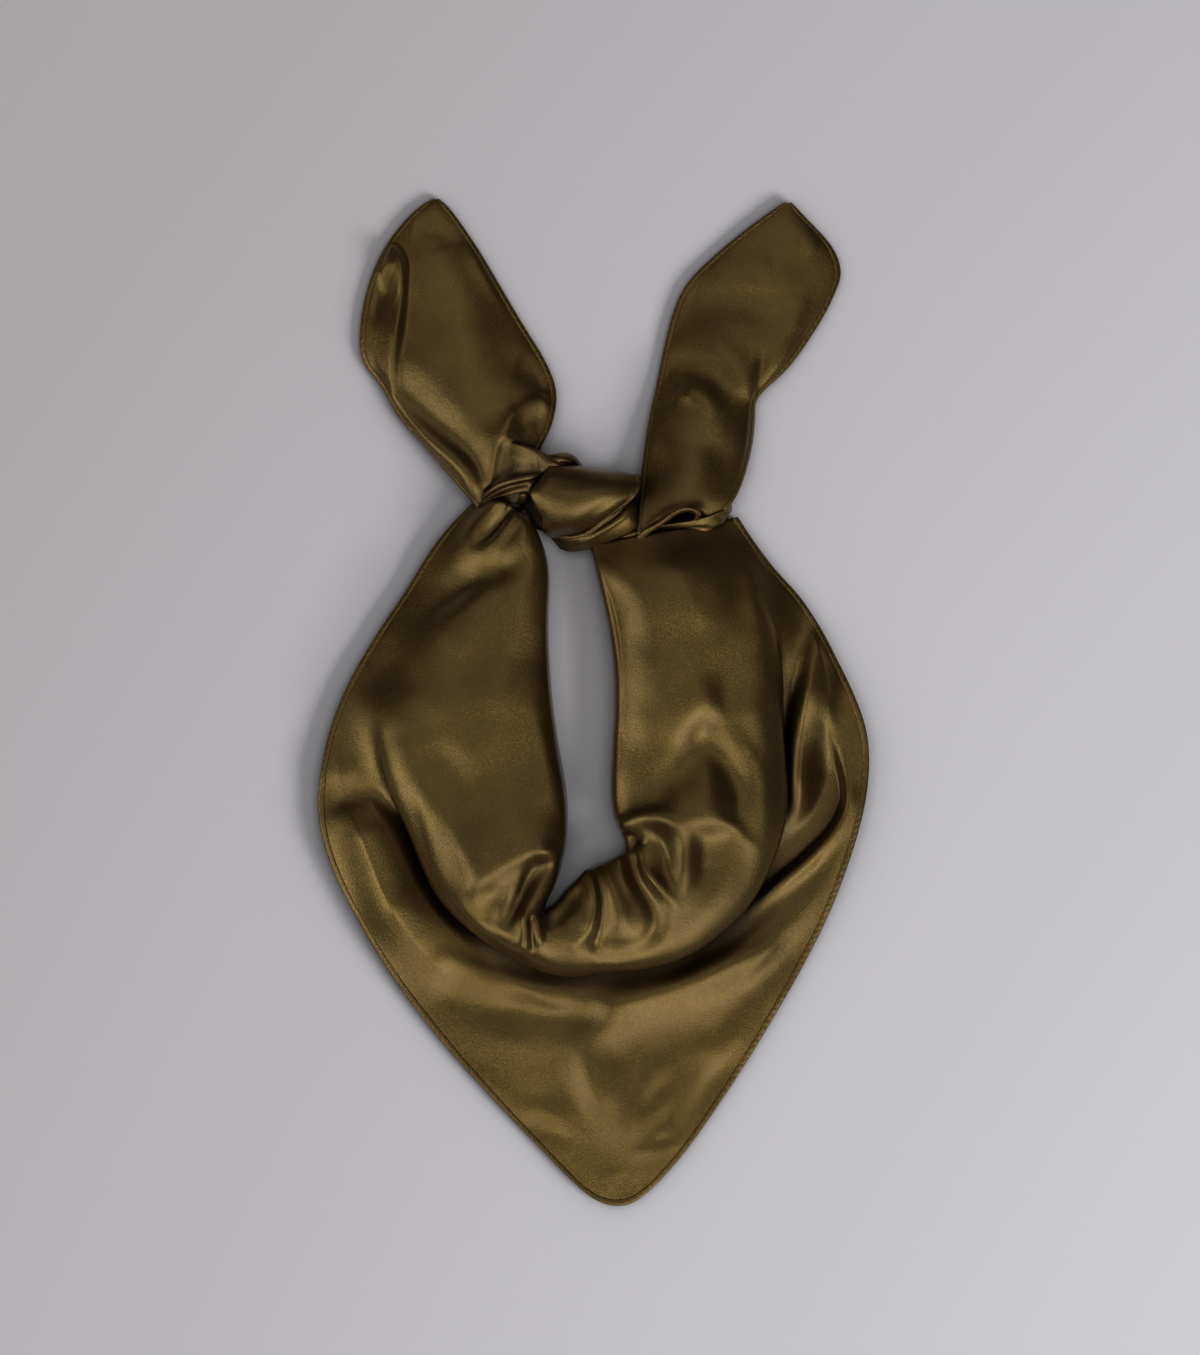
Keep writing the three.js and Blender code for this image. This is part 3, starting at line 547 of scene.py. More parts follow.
# %% Tails
LEFT_TAIL_ROWS = [
    [-18.6, 100, 12, -16.4, 100, 12, 0],
    [-25.2, 95.2, 14, -11.9, 95.5, 14, 12],
    [-33.5, 84.8, 14, -3.5, 83.2, 14, 24],
    [-39.0, 72.3, 16, 3.2, 71.9, 14, 34],
    [-41.6, 58.7, 16, 11.0, 58.7, 18, 42],
    [-41.0, 48.4, 16, 17.4, 48.4, 22, 50],
    [-34.8, 39.7, 19, 21.3, 38.1, 31, 54],
    [-29.0, 29.4, 25, 20.0, 27.7, 44, 52],
    [-21.9, 21.6, 38, 16.1, 19.4, 50, 48],
    [-14.5, 12.9, 50, 14.2, 12.9, 56, 38],
    [-9.0, 6.5, 56, 12.3, 7.1, 62, 25],
    [-3.9, 0.6, 56, 10.3, 1.9, 56, 12],
]
RIGHT_TAIL_ROWS = [
    [35.3, 100, 20, 37.6, 100, 20, 0],
    [28.4, 95.4, 18, 42.5, 94.8, 18, 12],
    [19.9, 88.9, 16, 50.7, 85.9, 16, 20],
    [11.4, 81.7, 14, 53.6, 77.8, 16, 24],
    [3.3, 73.2, 16, 51.6, 70.6, 18, 28],
    [-1.3, 62.7, 16, 46.4, 60.5, 20, 34],
    [-4.2, 50.7, 16, 36.6, 46.4, 24, 44],
    [-6.2, 40.8, 19, 26.5, 36.9, 30, 54],
    [-8.5, 30.7, 25, 25.5, 29.7, 31, 67],
    [-10.1, 20.9, 38, 24.5, 20.6, 38, 69],
    [-11.4, 10.5, 56, 21.6, 9.5, 50, 62],
    [-12.4, 0.7, 81, 18.0, 2.0, 69, 44],
    [-13.1, -8.5, 94, 13.1, -3.9, 69, 19],
]
LEFT_ROOT = -0.50          # where each tail leaves the knot, of the knot's width
RIGHT_ROOT = 0.275
TAIL_STEPS, TAIL_ACROSS = 230, 120

# %% Folds of the tails
LEFT_TAIL_FOLDS = [
    # Strip that is turned over at the left edge
    ([(388, 248), (398, 254), (403, 268), (403, 295), (399, 330), (395, 362),
      (394, 396)], (2.2, 9), 4.2, (0.4, 0.5), 0.3),
    ([(360, 300), (378, 294), (396, 300)], (8, 14), -2.6, (0.3, 0.6), 0),
    ([(366, 272), (382, 262), (398, 268)], (6, 6), 1.2, (0.3, 0.3), 0),
    # Ridge along the lower left edge and the funnel beside it
    ([(398, 404), (412, 420), (435, 440), (456, 459), (468, 473), (477, 492)], (5, 6), 3.2, (0.5, 0.8), 0),
    ([(410, 404), (426, 422), (444, 438), (466, 454), (480, 470), (487, 492)], (12, 5), -3.2, (0.4, 1), 0),
    ([(510, 418), (499, 440), (493, 460), (490, 482)], (3, 7), 2.4, (0.5, 0.8), 0.1),
    # Folded corner over the knot
    ([(507, 437), (513, 420), (526, 408), (541, 401), (549, 406)], (3.6, 5), 2.2, (0.9, 0.9), 0.3),
    ([(516, 434), (531, 424), (546, 424)], (6, 6), -1.4, (0.5, 0.5), 0),
    # Soft unevenness of the face
    ([(448, 245), (456, 280), (468, 330), (462, 395)], (15, 15), 1.6, (0.2, 0.2), 0),
    ([(414, 228), (435, 232), (458, 241)], (6, 6), -1, (0.2, 0.2), 0),
    ([(472, 252), (480, 270), (500, 302)], (4, 4), 0.8, (0.4, 0.2), 0),
    ([(515, 368), (530, 374), (550, 388)], (7, 7), -1.2, (0.3, 0.3), 0),
]
RIGHT_TAIL_FOLDS = [
    # Turned-over right edge and the slit at the notch
    ([(803, 297), (795, 320), (785, 345), (771, 371), (757, 391)], (6, 8), 1.8, (0.2, 0.6), 0),
    ([(765, 352), (760, 370), (756, 390)], (3, 3), -1.2, (0.3, 1), 0.1),
    # Dark cross valley in the middle of the tail
    ([(680, 306), (712, 301), (744, 303), (766, 318)], (9, 10), -2.2, (0.3, 0.3), 0),
    ([(666, 350), (700, 346), (730, 350)], (10, 9), 0.4, (0.3, 0.3), 0),
    ([(722, 352), (738, 372), (747, 400), (749, 430), (742, 460), (728, 490)], (7, 7), 1.2, (0.5, 0.2), 0),
    ([(657, 372), (690, 368), (716, 376), (728, 394)], (8, 8), -1.4, (0.5, 0.3), 0),
    ([(678, 392), (700, 399), (720, 414)], (7, 6), 1.8, (0.2, 0.2), 0),
    ([(660, 432), (690, 440), (712, 450), (724, 468)], (8, 8), -1.3, (0.2, 0.4), 0),
    ([(712, 280), (745, 270), (772, 266)], (10, 10), 1, (0.2, 0.2), 0),
    ([(798, 236), (818, 250)], (6, 6), 0.8, (0.3, 0.3), 0),
    # Curled rim over the pocket at the knot
    ([(640, 538), (655, 527), (669, 516), (681, 510), (692, 510),
      (699, 516)], (3, 1.6), 2.4, (0.3, 0.6), 0.3),
    ([(650, 534), (660, 527), (676, 518), (696, 517)], (1.8, 4.2), -8, (0.4, 0.9), 0.3),
    ([(640, 492), (640, 515), (637, 536)], (2.4, 3), 1.2, (0.3, 0.8), 0.2),
]


# %% Strips of cloth
def strip_grid(rows, scale, steps, across, folds=(), shift=0.0, waves=0.0):
    """A strip between two edges. Rows are left x, y, height, right x, y, height, puff."""
    smooth = blur(through(np.array(rows, float) * scale, steps), 0.2 * steps / len(rows))
    share = np.linspace(0, 1, across)[None, :, None]
    grid = smooth[:, None, 0:3] * (1 - share) + smooth[:, None, 3:6] * share
    grid[:, :, 0] += shift
    arch = np.sin(np.pi * share[:, :, 0])
    grid[:, :, 2] += smooth[:, 6:7] * arch**0.8
    x, y = grid[:, :, 0], grid[:, :, 1]
    lift = np.minimum(4 * arch, 1) * (fold_heights(x, y, folds) + ripples(x, y, 30, waves, 6))
    normals = grid_normals(grid)
    grid = grid + normals * np.sign(normals[:, :, 2].mean()) * lift[:, :, None]
    grid[:, :, 2] = soft_floor(grid[:, :, 2], CLOTH)
    return soften(grid)


def make_tail(rows, folds, length, root):
    share = np.array([length, length, TAIL_HEIGHT, length, length, TAIL_HEIGHT, TAIL_HEIGHT]) / 100
    return strip_grid(rows, share, TAIL_STEPS, TAIL_ACROSS, folds, root * KNOT_WIDTH, 0.16)


left_tail = make_tail(LEFT_TAIL_ROWS, LEFT_TAIL_FOLDS, LEFT_TAIL, LEFT_ROOT)
right_tail = make_tail(RIGHT_TAIL_ROWS, RIGHT_TAIL_FOLDS, RIGHT_TAIL, RIGHT_ROOT)
left_tail_piece = sheet_piece("scarf_tail_left", left_tail)
right_tail_piece = sheet_piece("scarf_tail_right", right_tail)

# %% [markdown]
# ## The knot
# Seven runs of cloth show in the knot. The wrap is the last turn, and it holds down the others. Each
# run is a strip between two edges, and it rises and falls over a packed core that can't be seen.

# %% Runs of cloth in the knot
# Rows of photo x, photo y and height in mm for one edge and for the other, then the puff between.
KNOT_RUNS = {
    "knot_wrap": [
        (556, 464, 17, 638, 477, 15, 0),
        (551, 467, 21, 640, 480, 18, 2),
        (544, 477, 24, 640, 485, 20.5, 3),
        (537, 487, 25.5, 639, 491, 22, 3.6),
        (531, 496, 26, 634, 499, 22.5, 4),
        (536, 507, 25, 622, 509, 21.5, 4),
        (543, 519, 22.5, 609, 518, 19.5, 4),
        (542, 528, 19, 598, 527, 17, 3.6),
        (544, 533, 15, 586, 534, 14, 2.5),
        (549, 537, 9.5, 577, 539, 9, 1),
        (553, 539, 5, 570, 541, 5, 0),
    ],
    "knot_hem_strand": [
        (632, 492, 12, 640, 508, 10, 0),
        (629, 499, 18, 638, 518, 14, 1.5),
        (619, 508, 20, 637, 527, 15.5, 2.5),
        (607, 517, 19.5, 628, 535, 15, 3),
        (595, 527, 18, 612, 542, 13.5, 3),
        (582, 535, 15.5, 597, 548, 11, 2.5),
        (566, 537, 12.5, 582, 551, 8.5, 2),
        (555, 536, 10, 570, 552, 7, 1),
        (546, 533, 7, 560, 549, 5, 0),
    ],
    "knot_low_strand": [
        (594, 536, 9, 598, 546, 6, 0),
        (612, 536, 13, 612, 547, 7, 2),
        (632, 533, 14.5, 635, 548, 7.5, 3),
        (652, 527, 15, 655, 548, 7.5, 3),
        (672, 524, 15.5, 674, 546, 8, 3),
        (692, 521, 15.5, 695, 540, 8, 3),
        (710, 516, 14, 712, 533, 8, 2.5),
        (723, 508, 11, 724, 521, 7, 1.5),
        (730, 502, 8, 731, 511, 6, 0),
    ],
    "knot_rim": [
        (635, 540, 15, 639, 543, 15, 0),
        (643, 531, 17.5, 648, 535, 17.5, 1.2),
        (657, 523, 20, 661, 527, 20, 1.4),
        (670, 513, 21.5, 673, 518, 21.5, 1.4),
        (682, 508, 22, 684, 513, 22, 1.4),
        (693, 509, 21.5, 693, 514, 21.5, 1.4),
        (700, 515, 20, 695, 518, 20, 1.2),
        (697, 522, 18, 693, 521, 18.5, 0.4),
    ],
    "knot_left_strap": [
        (474, 500, 6, 470, 508, 5, 0),
        (484, 494, 12, 484, 504, 11, 1),
        (495, 488, 17, 497, 499, 16, 1.5),
        (507, 482, 20, 510, 496, 20, 2),
        (520, 478, 22, 521, 494, 22, 2),
        (533, 476, 22, 531, 493, 22, 1.5),
        (546, 474, 20, 541, 490, 20, 0),
    ],
    "knot_pinch": [
        (523, 489, 19, 532, 493, 19, 0),
        (521, 494, 21, 529, 497, 21, 1.5),
        (519, 499, 20, 526, 501, 20, 1.5),
        (518, 504, 17, 523, 505, 17, 0),
    ],
    "knot_facet": [
        (503, 436, 5, 492, 494, 5, 0),
        (507, 438, 10, 497, 492, 9, 1),
        (520, 444, 14, 510, 484, 14, 2),
        (532, 449, 16.5, 523, 480, 17, 2.5),
        (543, 454, 18, 537, 478, 19, 2.5),
        (552, 457, 18.5, 548, 475, 20, 2.5),
        (562, 455, 18, 560, 471, 19, 3),
        (571, 456, 16, 571, 471, 16, 3),
        (578, 461, 13, 579, 471, 13, 1.5),
        (582, 467, 9, 582, 472, 9, 0),
    ],
}
KNOT_FOLDS = {
    "knot_wrap": [
        ([(622, 484), (600, 500), (576, 514), (552, 527)], (6, 8), 1.2, (0.2, 0.5), 0),
        ([(556, 471), (545, 485), (536, 499)], (4, 4), 0.6, (0.3, 0.3), 0),
        ([(592, 522), (610, 508), (626, 494)], (2, 3), 0.8, (0.3, 0.3), 0),
    ],
    "knot_hem_strand": [
        ([(634, 508), (618, 522), (596, 536), (578, 547)], (1.4, 1.6), 1, (0.3, 0.3), 0.2),
        ([(630, 504), (612, 520), (592, 533)], (1.2, 1.2), -0.9, (0.3, 0.3), 0.2),
    ],
    "knot_low_strand": [
        ([(660, 527), (682, 523), (706, 517), (728, 509)], (1.6, 1.6), 1.6, (0.3, 0.6), 0.3),
        ([(638, 540), (660, 531), (690, 532), (716, 526)], (1.6, 2.4), -2.8, (0.8, 0.3), 0.2),
        ([(640, 545), (672, 543), (700, 535), (720, 524)], (1.8, 1.8), 1.2, (0.4, 0.4), 0.1),
        ([(700, 528), (714, 526), (727, 517)], (1.4, 1.4), 1, (0.4, 0.4), 0.2),
    ],
    "knot_left_strap": [
        ([(480, 502), (500, 489), (520, 483), (542, 480)], (1, 1), -1.6, (0.4, 0.6), 0.4),
        ([(488, 503), (507, 494), (528, 488)], (1, 1), -1.4, (0.4, 0.6), 0.4),
    ],
    "knot_facet": [
        ([(508, 441), (525, 448), (545, 458), (562, 463)], (2.6, 2.6), 1.8, (0.5, 0.3), 0.2),
        ([(500, 474), (520, 472), (541, 469)], (6, 6), -3, (0.6, 0.3), 0),
        ([(547, 458), (560, 464), (576, 468)], (1.4, 1.4), -1.4, (0.5, 0.5), 0.2),
    ],
}
RUN_STEPS, RUN_ACROSS = 130, 60
knot_grids = {}
run_pieces = []
for run_name, run_rows in KNOT_RUNS.items():
    run = np.array(run_rows, float)
    placed = run.copy()
    placed[:, 0:2], placed[:, 3:5] = from_photo(run[:, 0:2]), from_photo(run[:, 3:5])
    grid = strip_grid(placed, 1.0, RUN_STEPS, RUN_ACROSS, KNOT_FOLDS.get(run_name, []), 0.0, 0.12)
    knot_grids[run_name] = grid
    run_pieces.append(sheet_piece(run_name, grid))

# %% Knot core
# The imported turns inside, as shares of the knot's width, depth and height.
CORE_WIDE, CORE_DEEP, CORE_TALL, CORE_MIDDLE = 0.38, 0.34, 0.17, 0.19


def make_core():
    turn = np.linspace(0, 2 * np.pi, 96, endpoint=False)
    rise = np.linspace(-np.pi / 2, np.pi / 2, 48)[1:-1]
    ring_x = np.cos(rise)[:, None] * np.cos(turn) * CORE_WIDE * KNOT_WIDTH
    ring_y = np.cos(rise)[:, None] * np.sin(turn) * CORE_DEEP * KNOT_DEPTH
    ring_z = (np.sin(rise)[:, None] * np.ones_like(turn) * CORE_TALL + CORE_MIDDLE) * KNOT_HEIGHT
    points = np.stack([ring_x, ring_y, ring_z], axis=2).reshape(-1, 3)
    bottom = [0, 0, (CORE_MIDDLE - CORE_TALL) * KNOT_HEIGHT]
    top = [0, 0, (CORE_MIDDLE + CORE_TALL) * KNOT_HEIGHT]
    points = in_frame(np.concatenate([points, [bottom, top]]))
    sides, rings = len(turn), len(rise)
    faces = []
    for i in range(rings - 1):
        for j in range(sides):
            k = (j + 1) % sides
            faces.append([i * sides + j, i * sides + k, (i + 1) * sides + k, (i + 1) * sides + j])
    for j in range(sides):
        k = (j + 1) % sides
        faces.append([rings * sides, k, j])
        faces.append([rings * sides + 1, (rings - 1) * sides + j, (rings - 1) * sides + k])
    return mesh_piece("knot_core", points, faces, on_the_cross(points))


core_piece = make_core()

# %% [markdown]
# ## Hems
# The edge of the square is turned in twice and sewn down, which makes a band 3 mm wide that stands
# a little over the cloth. Each hem follows one edge of a grid.

# %% Hem bands
HEM_WIDTH = 3.0
# How far in from the edge, and how high over the middle of the cloth, in mm.
HEM_SECTION = [(-0.2, 0.0), (-0.1, 0.3), (0.4, 0.52), (1.2, 0.5), (2.1, 0.46), (2.6, 0.36), (2.8, 0.2)]
HEM_THICKNESS = 0.3
NEAR_EDGE = 24             # columns of a grid in which a hem looks for its place
STITCH_IN = 2.15
STITCH_RISE = 0.51
STITCH_PITCH, STITCH_LENGTH, STITCH_WIDTH = 2.5, 1.7, 0.26


def resample(line, step):
    """Points at even steps along a line."""
    run = way_along(line)
    even = np.linspace(0, run[-1], max(2, int(run[-1] / step)))
    return np.stack([np.interp(even, run, line[:, k]) for k in range(3)], axis=1)


def hem_lines(grid, side, section, width):
    """Lines beside one edge of a grid, one for each (way in, rise) of the section."""
    rows = grid if side == 0 else grid[:, ::-1]
    up = grid_normals(grid)
    up = up * np.sign(up[len(grid) // 2, -4 if side else 3, 2])
    up = up if side == 0 else up[:, ::-1]
    lines = []
    for way_in, rise in section:
        line = []
        for row, lift in zip(rows, up):
            run = way_along(row[:NEAR_EDGE])
            place = way_in * width / HEM_WIDTH
            spot = np.array([np.interp(max(place, 0), run, row[:NEAR_EDGE, k]) for k in range(3)])
            if place < 0:
                spot = row[0] + (row[0] - row[1]) / max(run[1], 1e-6) * -place
            line.append(spot + lift[2] * rise)
        lines.append(np.array(line))
    return lines


def hem_piece(name, grid, side, width):
    lines = hem_lines(grid, side, HEM_SECTION, width)
    count = max(3, int(np.linalg.norm(np.diff(lines[3], axis=0), axis=1).sum() / 1.2))
    band = np.stack([blur(through(line, count), 1.0) for line in lines], axis=1)
    run = way_along(band[:, 3])
    across = np.array([way_in for way_in, rise in HEM_SECTION])
    flat = np.stack(np.broadcast_arrays(run[:, None], across[None, :]), axis=-1) * MM
    return sheet_piece(name, band, HEM_THICKNESS, flat)


HEMS = {
    "hem_drape": (drape, 1, HEM_WIDTH),
    "hem_left_tail_outer": (left_tail, 0, HEM_WIDTH),
    "hem_left_tail_inner": (left_tail, 1, HEM_WIDTH),
    "hem_right_tail_inner": (right_tail, 0, HEM_WIDTH),
    "hem_right_tail_outer": (right_tail, 1, HEM_WIDTH),
    "hem_wrap": (knot_grids["knot_wrap"], 1, 2.2),
    "hem_strand": (knot_grids["knot_hem_strand"], 0, 2.4),
}
hem_pieces = [hem_piece(name, *made_of) for name, made_of in HEMS.items()]

# %% [markdown]
# ## Polyester satin
# Satin floats its threads over several others, so the face is long smooth filament. It mirrors
# light in its own colour, softly and stretched across the threads. A part metallic shader with a
# fairly low roughness and some anisotropy gives that. A very fine noise gives the grain that the
# highlights show up close. An ambient occlusion node paints shade into the colour deep in the folds.


# %% Material helpers
def srgb(hex_code):
    """Linear colour from an sRGB hex value."""
    parts = [int(hex_code[i : i + 2], 16) / 255 for i in (1, 3, 5)]
    linear = [c / 12.92 if c <= 0.04045 else ((c + 0.055) / 1.055) ** 2.4 for c in parts]
    return (*linear, 1.0)


def add_node(tree, kind, settings=None, **links):
    """Adds a node. Settings are attributes or socket names, links are sockets or plain values."""
    node = tree.nodes.new(kind)
    for key, value in (settings or {}).items():
        if hasattr(node, key):
            setattr(node, key, value)
        else:
            node.inputs[key].default_value = value
    for key, value in links.items():
        socket = node.inputs[int(key[1:])] if key[0] == "n" and key[1:].isdigit() else node.inputs[key]
        tree.links.new(value, socket)
    return node


def start_material(name):
    material = bpy.data.materials.new(name)
    material.use_nodes = True
    return material, material.node_tree, material.node_tree.nodes["Principled BSDF"]


# %% Satin
def make_satin():
    material, tree, shader = start_material("polyester_satin")
    shader.inputs["Metallic"].default_value = 0.88
    shader.inputs["Anisotropic"].default_value = 0.3
    shader.inputs["Coat Weight"].default_value = 0.3
    shader.inputs["Coat Roughness"].default_value = 0.4
    threads_run = add_node(tree, "ShaderNodeTangent", {"direction_type": "UV_MAP", "uv_map": "cloth"})
    tree.links.new(threads_run.outputs["Tangent"], shader.inputs["Tangent"])
    cloth = add_node(tree, "ShaderNodeUVMap", {"uv_map": "cloth"})
    # Threads: really 0.1 mm wide, drawn as streaks of about 1.4 by 0.4 mm so that they show.
    streaks = add_node(tree, "ShaderNodeMapping", {"Scale": (700, 2400, 1)}, Vector=cloth.outputs["UV"])
    thread = add_node(
        tree, "ShaderNodeTexNoise", {"Scale": 1.0, "Detail": 3.0}, Vector=streaks.outputs["Vector"],
    )
    # Colour: the dye is even, but the two sets of threads take the light in slow cloudy changes.
    cloud = add_node(tree, "ShaderNodeTexNoise", {"Scale": 16.0, "Detail": 4.0}, Vector=cloth.outputs["UV"])
    both = add_node(
        tree, "ShaderNodeMath", {"operation": "ADD"}, n0=cloud.outputs["Fac"], n1=thread.outputs["Fac"],
    )
    half = add_node(tree, "ShaderNodeMath", {"operation": "MULTIPLY"}, n0=both.outputs["Value"])
    half.inputs[1].default_value = 0.5
    tone = add_node(tree, "ShaderNodeValToRGB", Fac=half.outputs["Value"])
    tone.color_ramp.elements[0].position = 0.34
    tone.color_ramp.elements[0].color = srgb("#523e17")
    tone.color_ramp.elements[1].position = 0.66
    tone.color_ramp.elements[1].color = srgb("#7a612c")
    # Painted shade: an ambient occlusion node darkens the colour deep in the folds, where satin goes nearly
    # black.
    painted_shade_ao = add_node(tree, "ShaderNodeAmbientOcclusion", {"Distance": 0.03})
    painted_shade_ao.samples = 6
    painted_shade_amount = add_node(
        tree, "ShaderNodeMapRange",
        {"interpolation_type": "SMOOTHSTEP", "From Min": 0.4, "From Max": 0.85, "To Min": 0.15},
        Value=painted_shade_ao.outputs["AO"],
    )
    tone_with_painted_shade = add_node(
        tree, "ShaderNodeVectorMath", {"operation": "SCALE"},
        Vector=tone.outputs["Color"], Scale=painted_shade_amount.outputs["Result"],
    )
    tree.links.new(tone_with_painted_shade.outputs["Vector"], shader.inputs["Base Color"])
    gloss = add_node(
        tree, "ShaderNodeMapRange", {"To Min": 0.27, "To Max": 0.38}, Value=thread.outputs["Fac"],
    )
    tree.links.new(gloss.outputs["Result"], shader.inputs["Roughness"])
    # Unevenness a hand's touch leaves, and the thread grain on top of it.
    uneven = add_node(tree, "ShaderNodeTexNoise", {"Scale": 90.0, "Detail": 3.0}, Vector=cloth.outputs["UV"])
    soft = add_node(
        tree, "ShaderNodeBump", {"Strength": 1.0, "Distance": 0.00014}, Height=uneven.outputs["Fac"],
    )
    grain = add_node(
        tree, "ShaderNodeBump", {"name": "grain", "Strength": 1.0, "Distance": 0.0002},
        Height=thread.outputs["Fac"], Normal=soft.outputs["Normal"],
    )
    tree.links.new(grain.outputs["Normal"], shader.inputs["Normal"])
    return material


satin = make_satin()


def make_hem_satin(satin):
    """The same satin with the fine slanting ribs that a machine hem pulls into the cloth."""
    material = satin.copy()
    material.name = "polyester_satin_hem"
    tree = material.node_tree
    grain = tree.nodes["grain"]
    cloth = add_node(tree, "ShaderNodeUVMap", {"uv_map": "cloth"})
    ribs = add_node(
        tree, "ShaderNodeTexWave",
        {"bands_direction": "DIAGONAL", "Scale": 170.0, "Distortion": 1.2, "Detail": 1.0},
        Vector=cloth.outputs["UV"],
    )
    bump = add_node(
        tree, "ShaderNodeBump", {"Strength": 1.0, "Distance": 0.00007},
        Height=ribs.outputs["Fac"], Normal=grain.outputs["Normal"],
    )
    tree.links.new(bump.outputs["Normal"], tree.nodes["Principled BSDF"].inputs["Normal"])
    return material


def make_thread():
    """Spun polyester, a little darker and much less shiny than the satin."""
    material, tree, shader = start_material("polyester_sewing_thread")
    shader.inputs["Base Color"].default_value = srgb("#5c4a24")
    shader.inputs["Roughness"].default_value = 0.5
    shader.inputs["Sheen Weight"].default_value = 0.3
    return material


hem_satin = make_hem_satin(satin)
thread_material = make_thread()

# %% [markdown]
# ## Stitches
# Geometry Nodes lay a small thread spindle at even steps along each hem line. A little random
# turn keeps them from looking printed.


# %% Stitch tree
def make_stitch_tree():
    tree = bpy.data.node_groups.new("stitches", "GeometryNodeTree")
    face = tree.interface
    face.new_socket("Line", in_out="INPUT", socket_type="NodeSocketGeometry")
    pitch = face.new_socket("Pitch", in_out="INPUT", socket_type="NodeSocketFloat")
    length = face.new_socket("Length", in_out="INPUT", socket_type="NodeSocketFloat")
    width = face.new_socket("Width", in_out="INPUT", socket_type="NodeSocketFloat")
    seed = face.new_socket("Seed", in_out="INPUT", socket_type="NodeSocketInt")
    face.new_socket("Stitches", in_out="OUTPUT", socket_type="NodeSocketGeometry")
    start = tree.nodes.new("NodeGroupInput")
    finish = tree.nodes.new("NodeGroupOutput")
    line = add_node(tree, "GeometryNodeMeshToCurve", Mesh=start.outputs["Line"])
    even = add_node(tree, "GeometryNodeResampleCurve", {"mode": "LENGTH"}, Curve=line.outputs["Curve"])
    tree.links.new(start.outputs["Pitch"], even.inputs["Length"])
    ball = add_node(tree, "GeometryNodeMeshUVSphere", {"Segments": 6, "Rings": 4, "Radius": 0.5})
    size = add_node(
        tree, "ShaderNodeCombineXYZ",
        X=start.outputs["Width"], Y=start.outputs["Width"], Z=start.outputs["Length"],
    )
    spindle = add_node(
        tree, "GeometryNodeTransform", Geometry=ball.outputs["Mesh"], Scale=size.outputs["Vector"],
    )
    along = add_node(tree, "GeometryNodeInputTangent")
    jitter = add_node(
        tree, "FunctionNodeRandomValue", {"data_type": "FLOAT_VECTOR"}, Seed=start.outputs["Seed"],
    )
    jitter.inputs[0].default_value = (-0.16, -0.16, -0.16)
    jitter.inputs[1].default_value = (0.16, 0.16, 0.16)
    slant = add_node(
        tree, "ShaderNodeVectorMath", {"operation": "ADD"},
        n0=along.outputs["Tangent"], n1=jitter.outputs[0],
    )
    turn = add_node(tree, "FunctionNodeAlignRotationToVector", {"axis": "Z"}, Vector=slant.outputs["Vector"])
    place = add_node(
        tree, "GeometryNodeInstanceOnPoints",
        Points=even.outputs["Curve"], Instance=spindle.outputs["Geometry"],
        Rotation=turn.outputs["Rotation"],
    )
    real = add_node(tree, "GeometryNodeRealizeInstances", Geometry=place.outputs["Instances"])
    colour = add_node(
        tree, "GeometryNodeSetMaterial", {"Material": thread_material}, Geometry=real.outputs["Geometry"],
    )
    tree.links.new(colour.outputs["Geometry"], finish.inputs["Stitches"])
    return tree, (pitch.identifier, length.identifier, width.identifier, seed.identifier)


stitch_tree, stitch_inputs = make_stitch_tree()


# %% Stitches on each hem
def stitch_piece(name, grid, side, width, seed):
    line = hem_lines(grid, side, [(STITCH_IN, STITCH_RISE)], width)[0]
    line = in_frame(resample(line, 1.0))
    mesh = bpy.data.meshes.new(name + "_line")
    mesh.from_pydata([tuple(p) for p in line], [(k, k + 1) for k in range(len(line) - 1)], [])
    carrier = put_in_scene(name + "_line", mesh)
    made = carrier.modifiers.new("stitches", "NODES")
    made.node_group = stitch_tree
    values = (STITCH_PITCH * MM, STITCH_LENGTH * MM, STITCH_WIDTH * MM, seed)
    for identifier, value in zip(stitch_inputs, values):
        made[identifier] = value
    evaluated = carrier.evaluated_get(bpy.context.evaluated_depsgraph_get())
    stitched = bpy.data.meshes.new_from_object(evaluated)
    stitched.name = name
    carrier.modifiers.remove(made)
    bpy.data.objects.remove(carrier)
    print(name, "has", len(stitched.polygons), "faces")
    return put_in_scene(name, stitched)


stitch_pieces = [
    stitch_piece(name.replace("hem_", "stitches_"), *made_of, seed)
    for seed, (name, made_of) in enumerate(HEMS.items())
]
for piece in hem_pieces:
    piece.data.materials.append(hem_satin)
cloth_pieces = [drape_piece, left_tail_piece, right_tail_piece, *run_pieces, core_piece]
for piece in cloth_pieces:
    piece.data.materials.append(satin)

# %% Ride on the frame
all_pieces = cloth_pieces + hem_pieces + stitch_pieces
for piece in all_pieces:
    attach(piece, "root")
    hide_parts("satin_scarf")

# %% [markdown]
# ## The flat square
# The whole scarf is one square of 0.70 m. Only its outer turns are modelled.


# %% [markdown]
# ## The camera, the surface and the light
# The photograph looks straight down, so the camera hangs over its centre with a long lens.

# %% Camera
VIEW_X, VIEW_Y = 3.3, 12.4
VIEW_HEIGHT = 677.5
CAMERA_DISTANCE = 2200.0
camera_data = bpy.data.cameras.new("camera")
camera_data.lens = camera_data.sensor_width * CAMERA_DISTANCE / VIEW_HEIGHT
camera_data.clip_end = 20
camera = put_in_scene("camera", camera_data)
camera.location = (VIEW_X * MM, VIEW_Y * MM, CAMERA_DISTANCE * MM)
bpy.context.scene.camera = camera

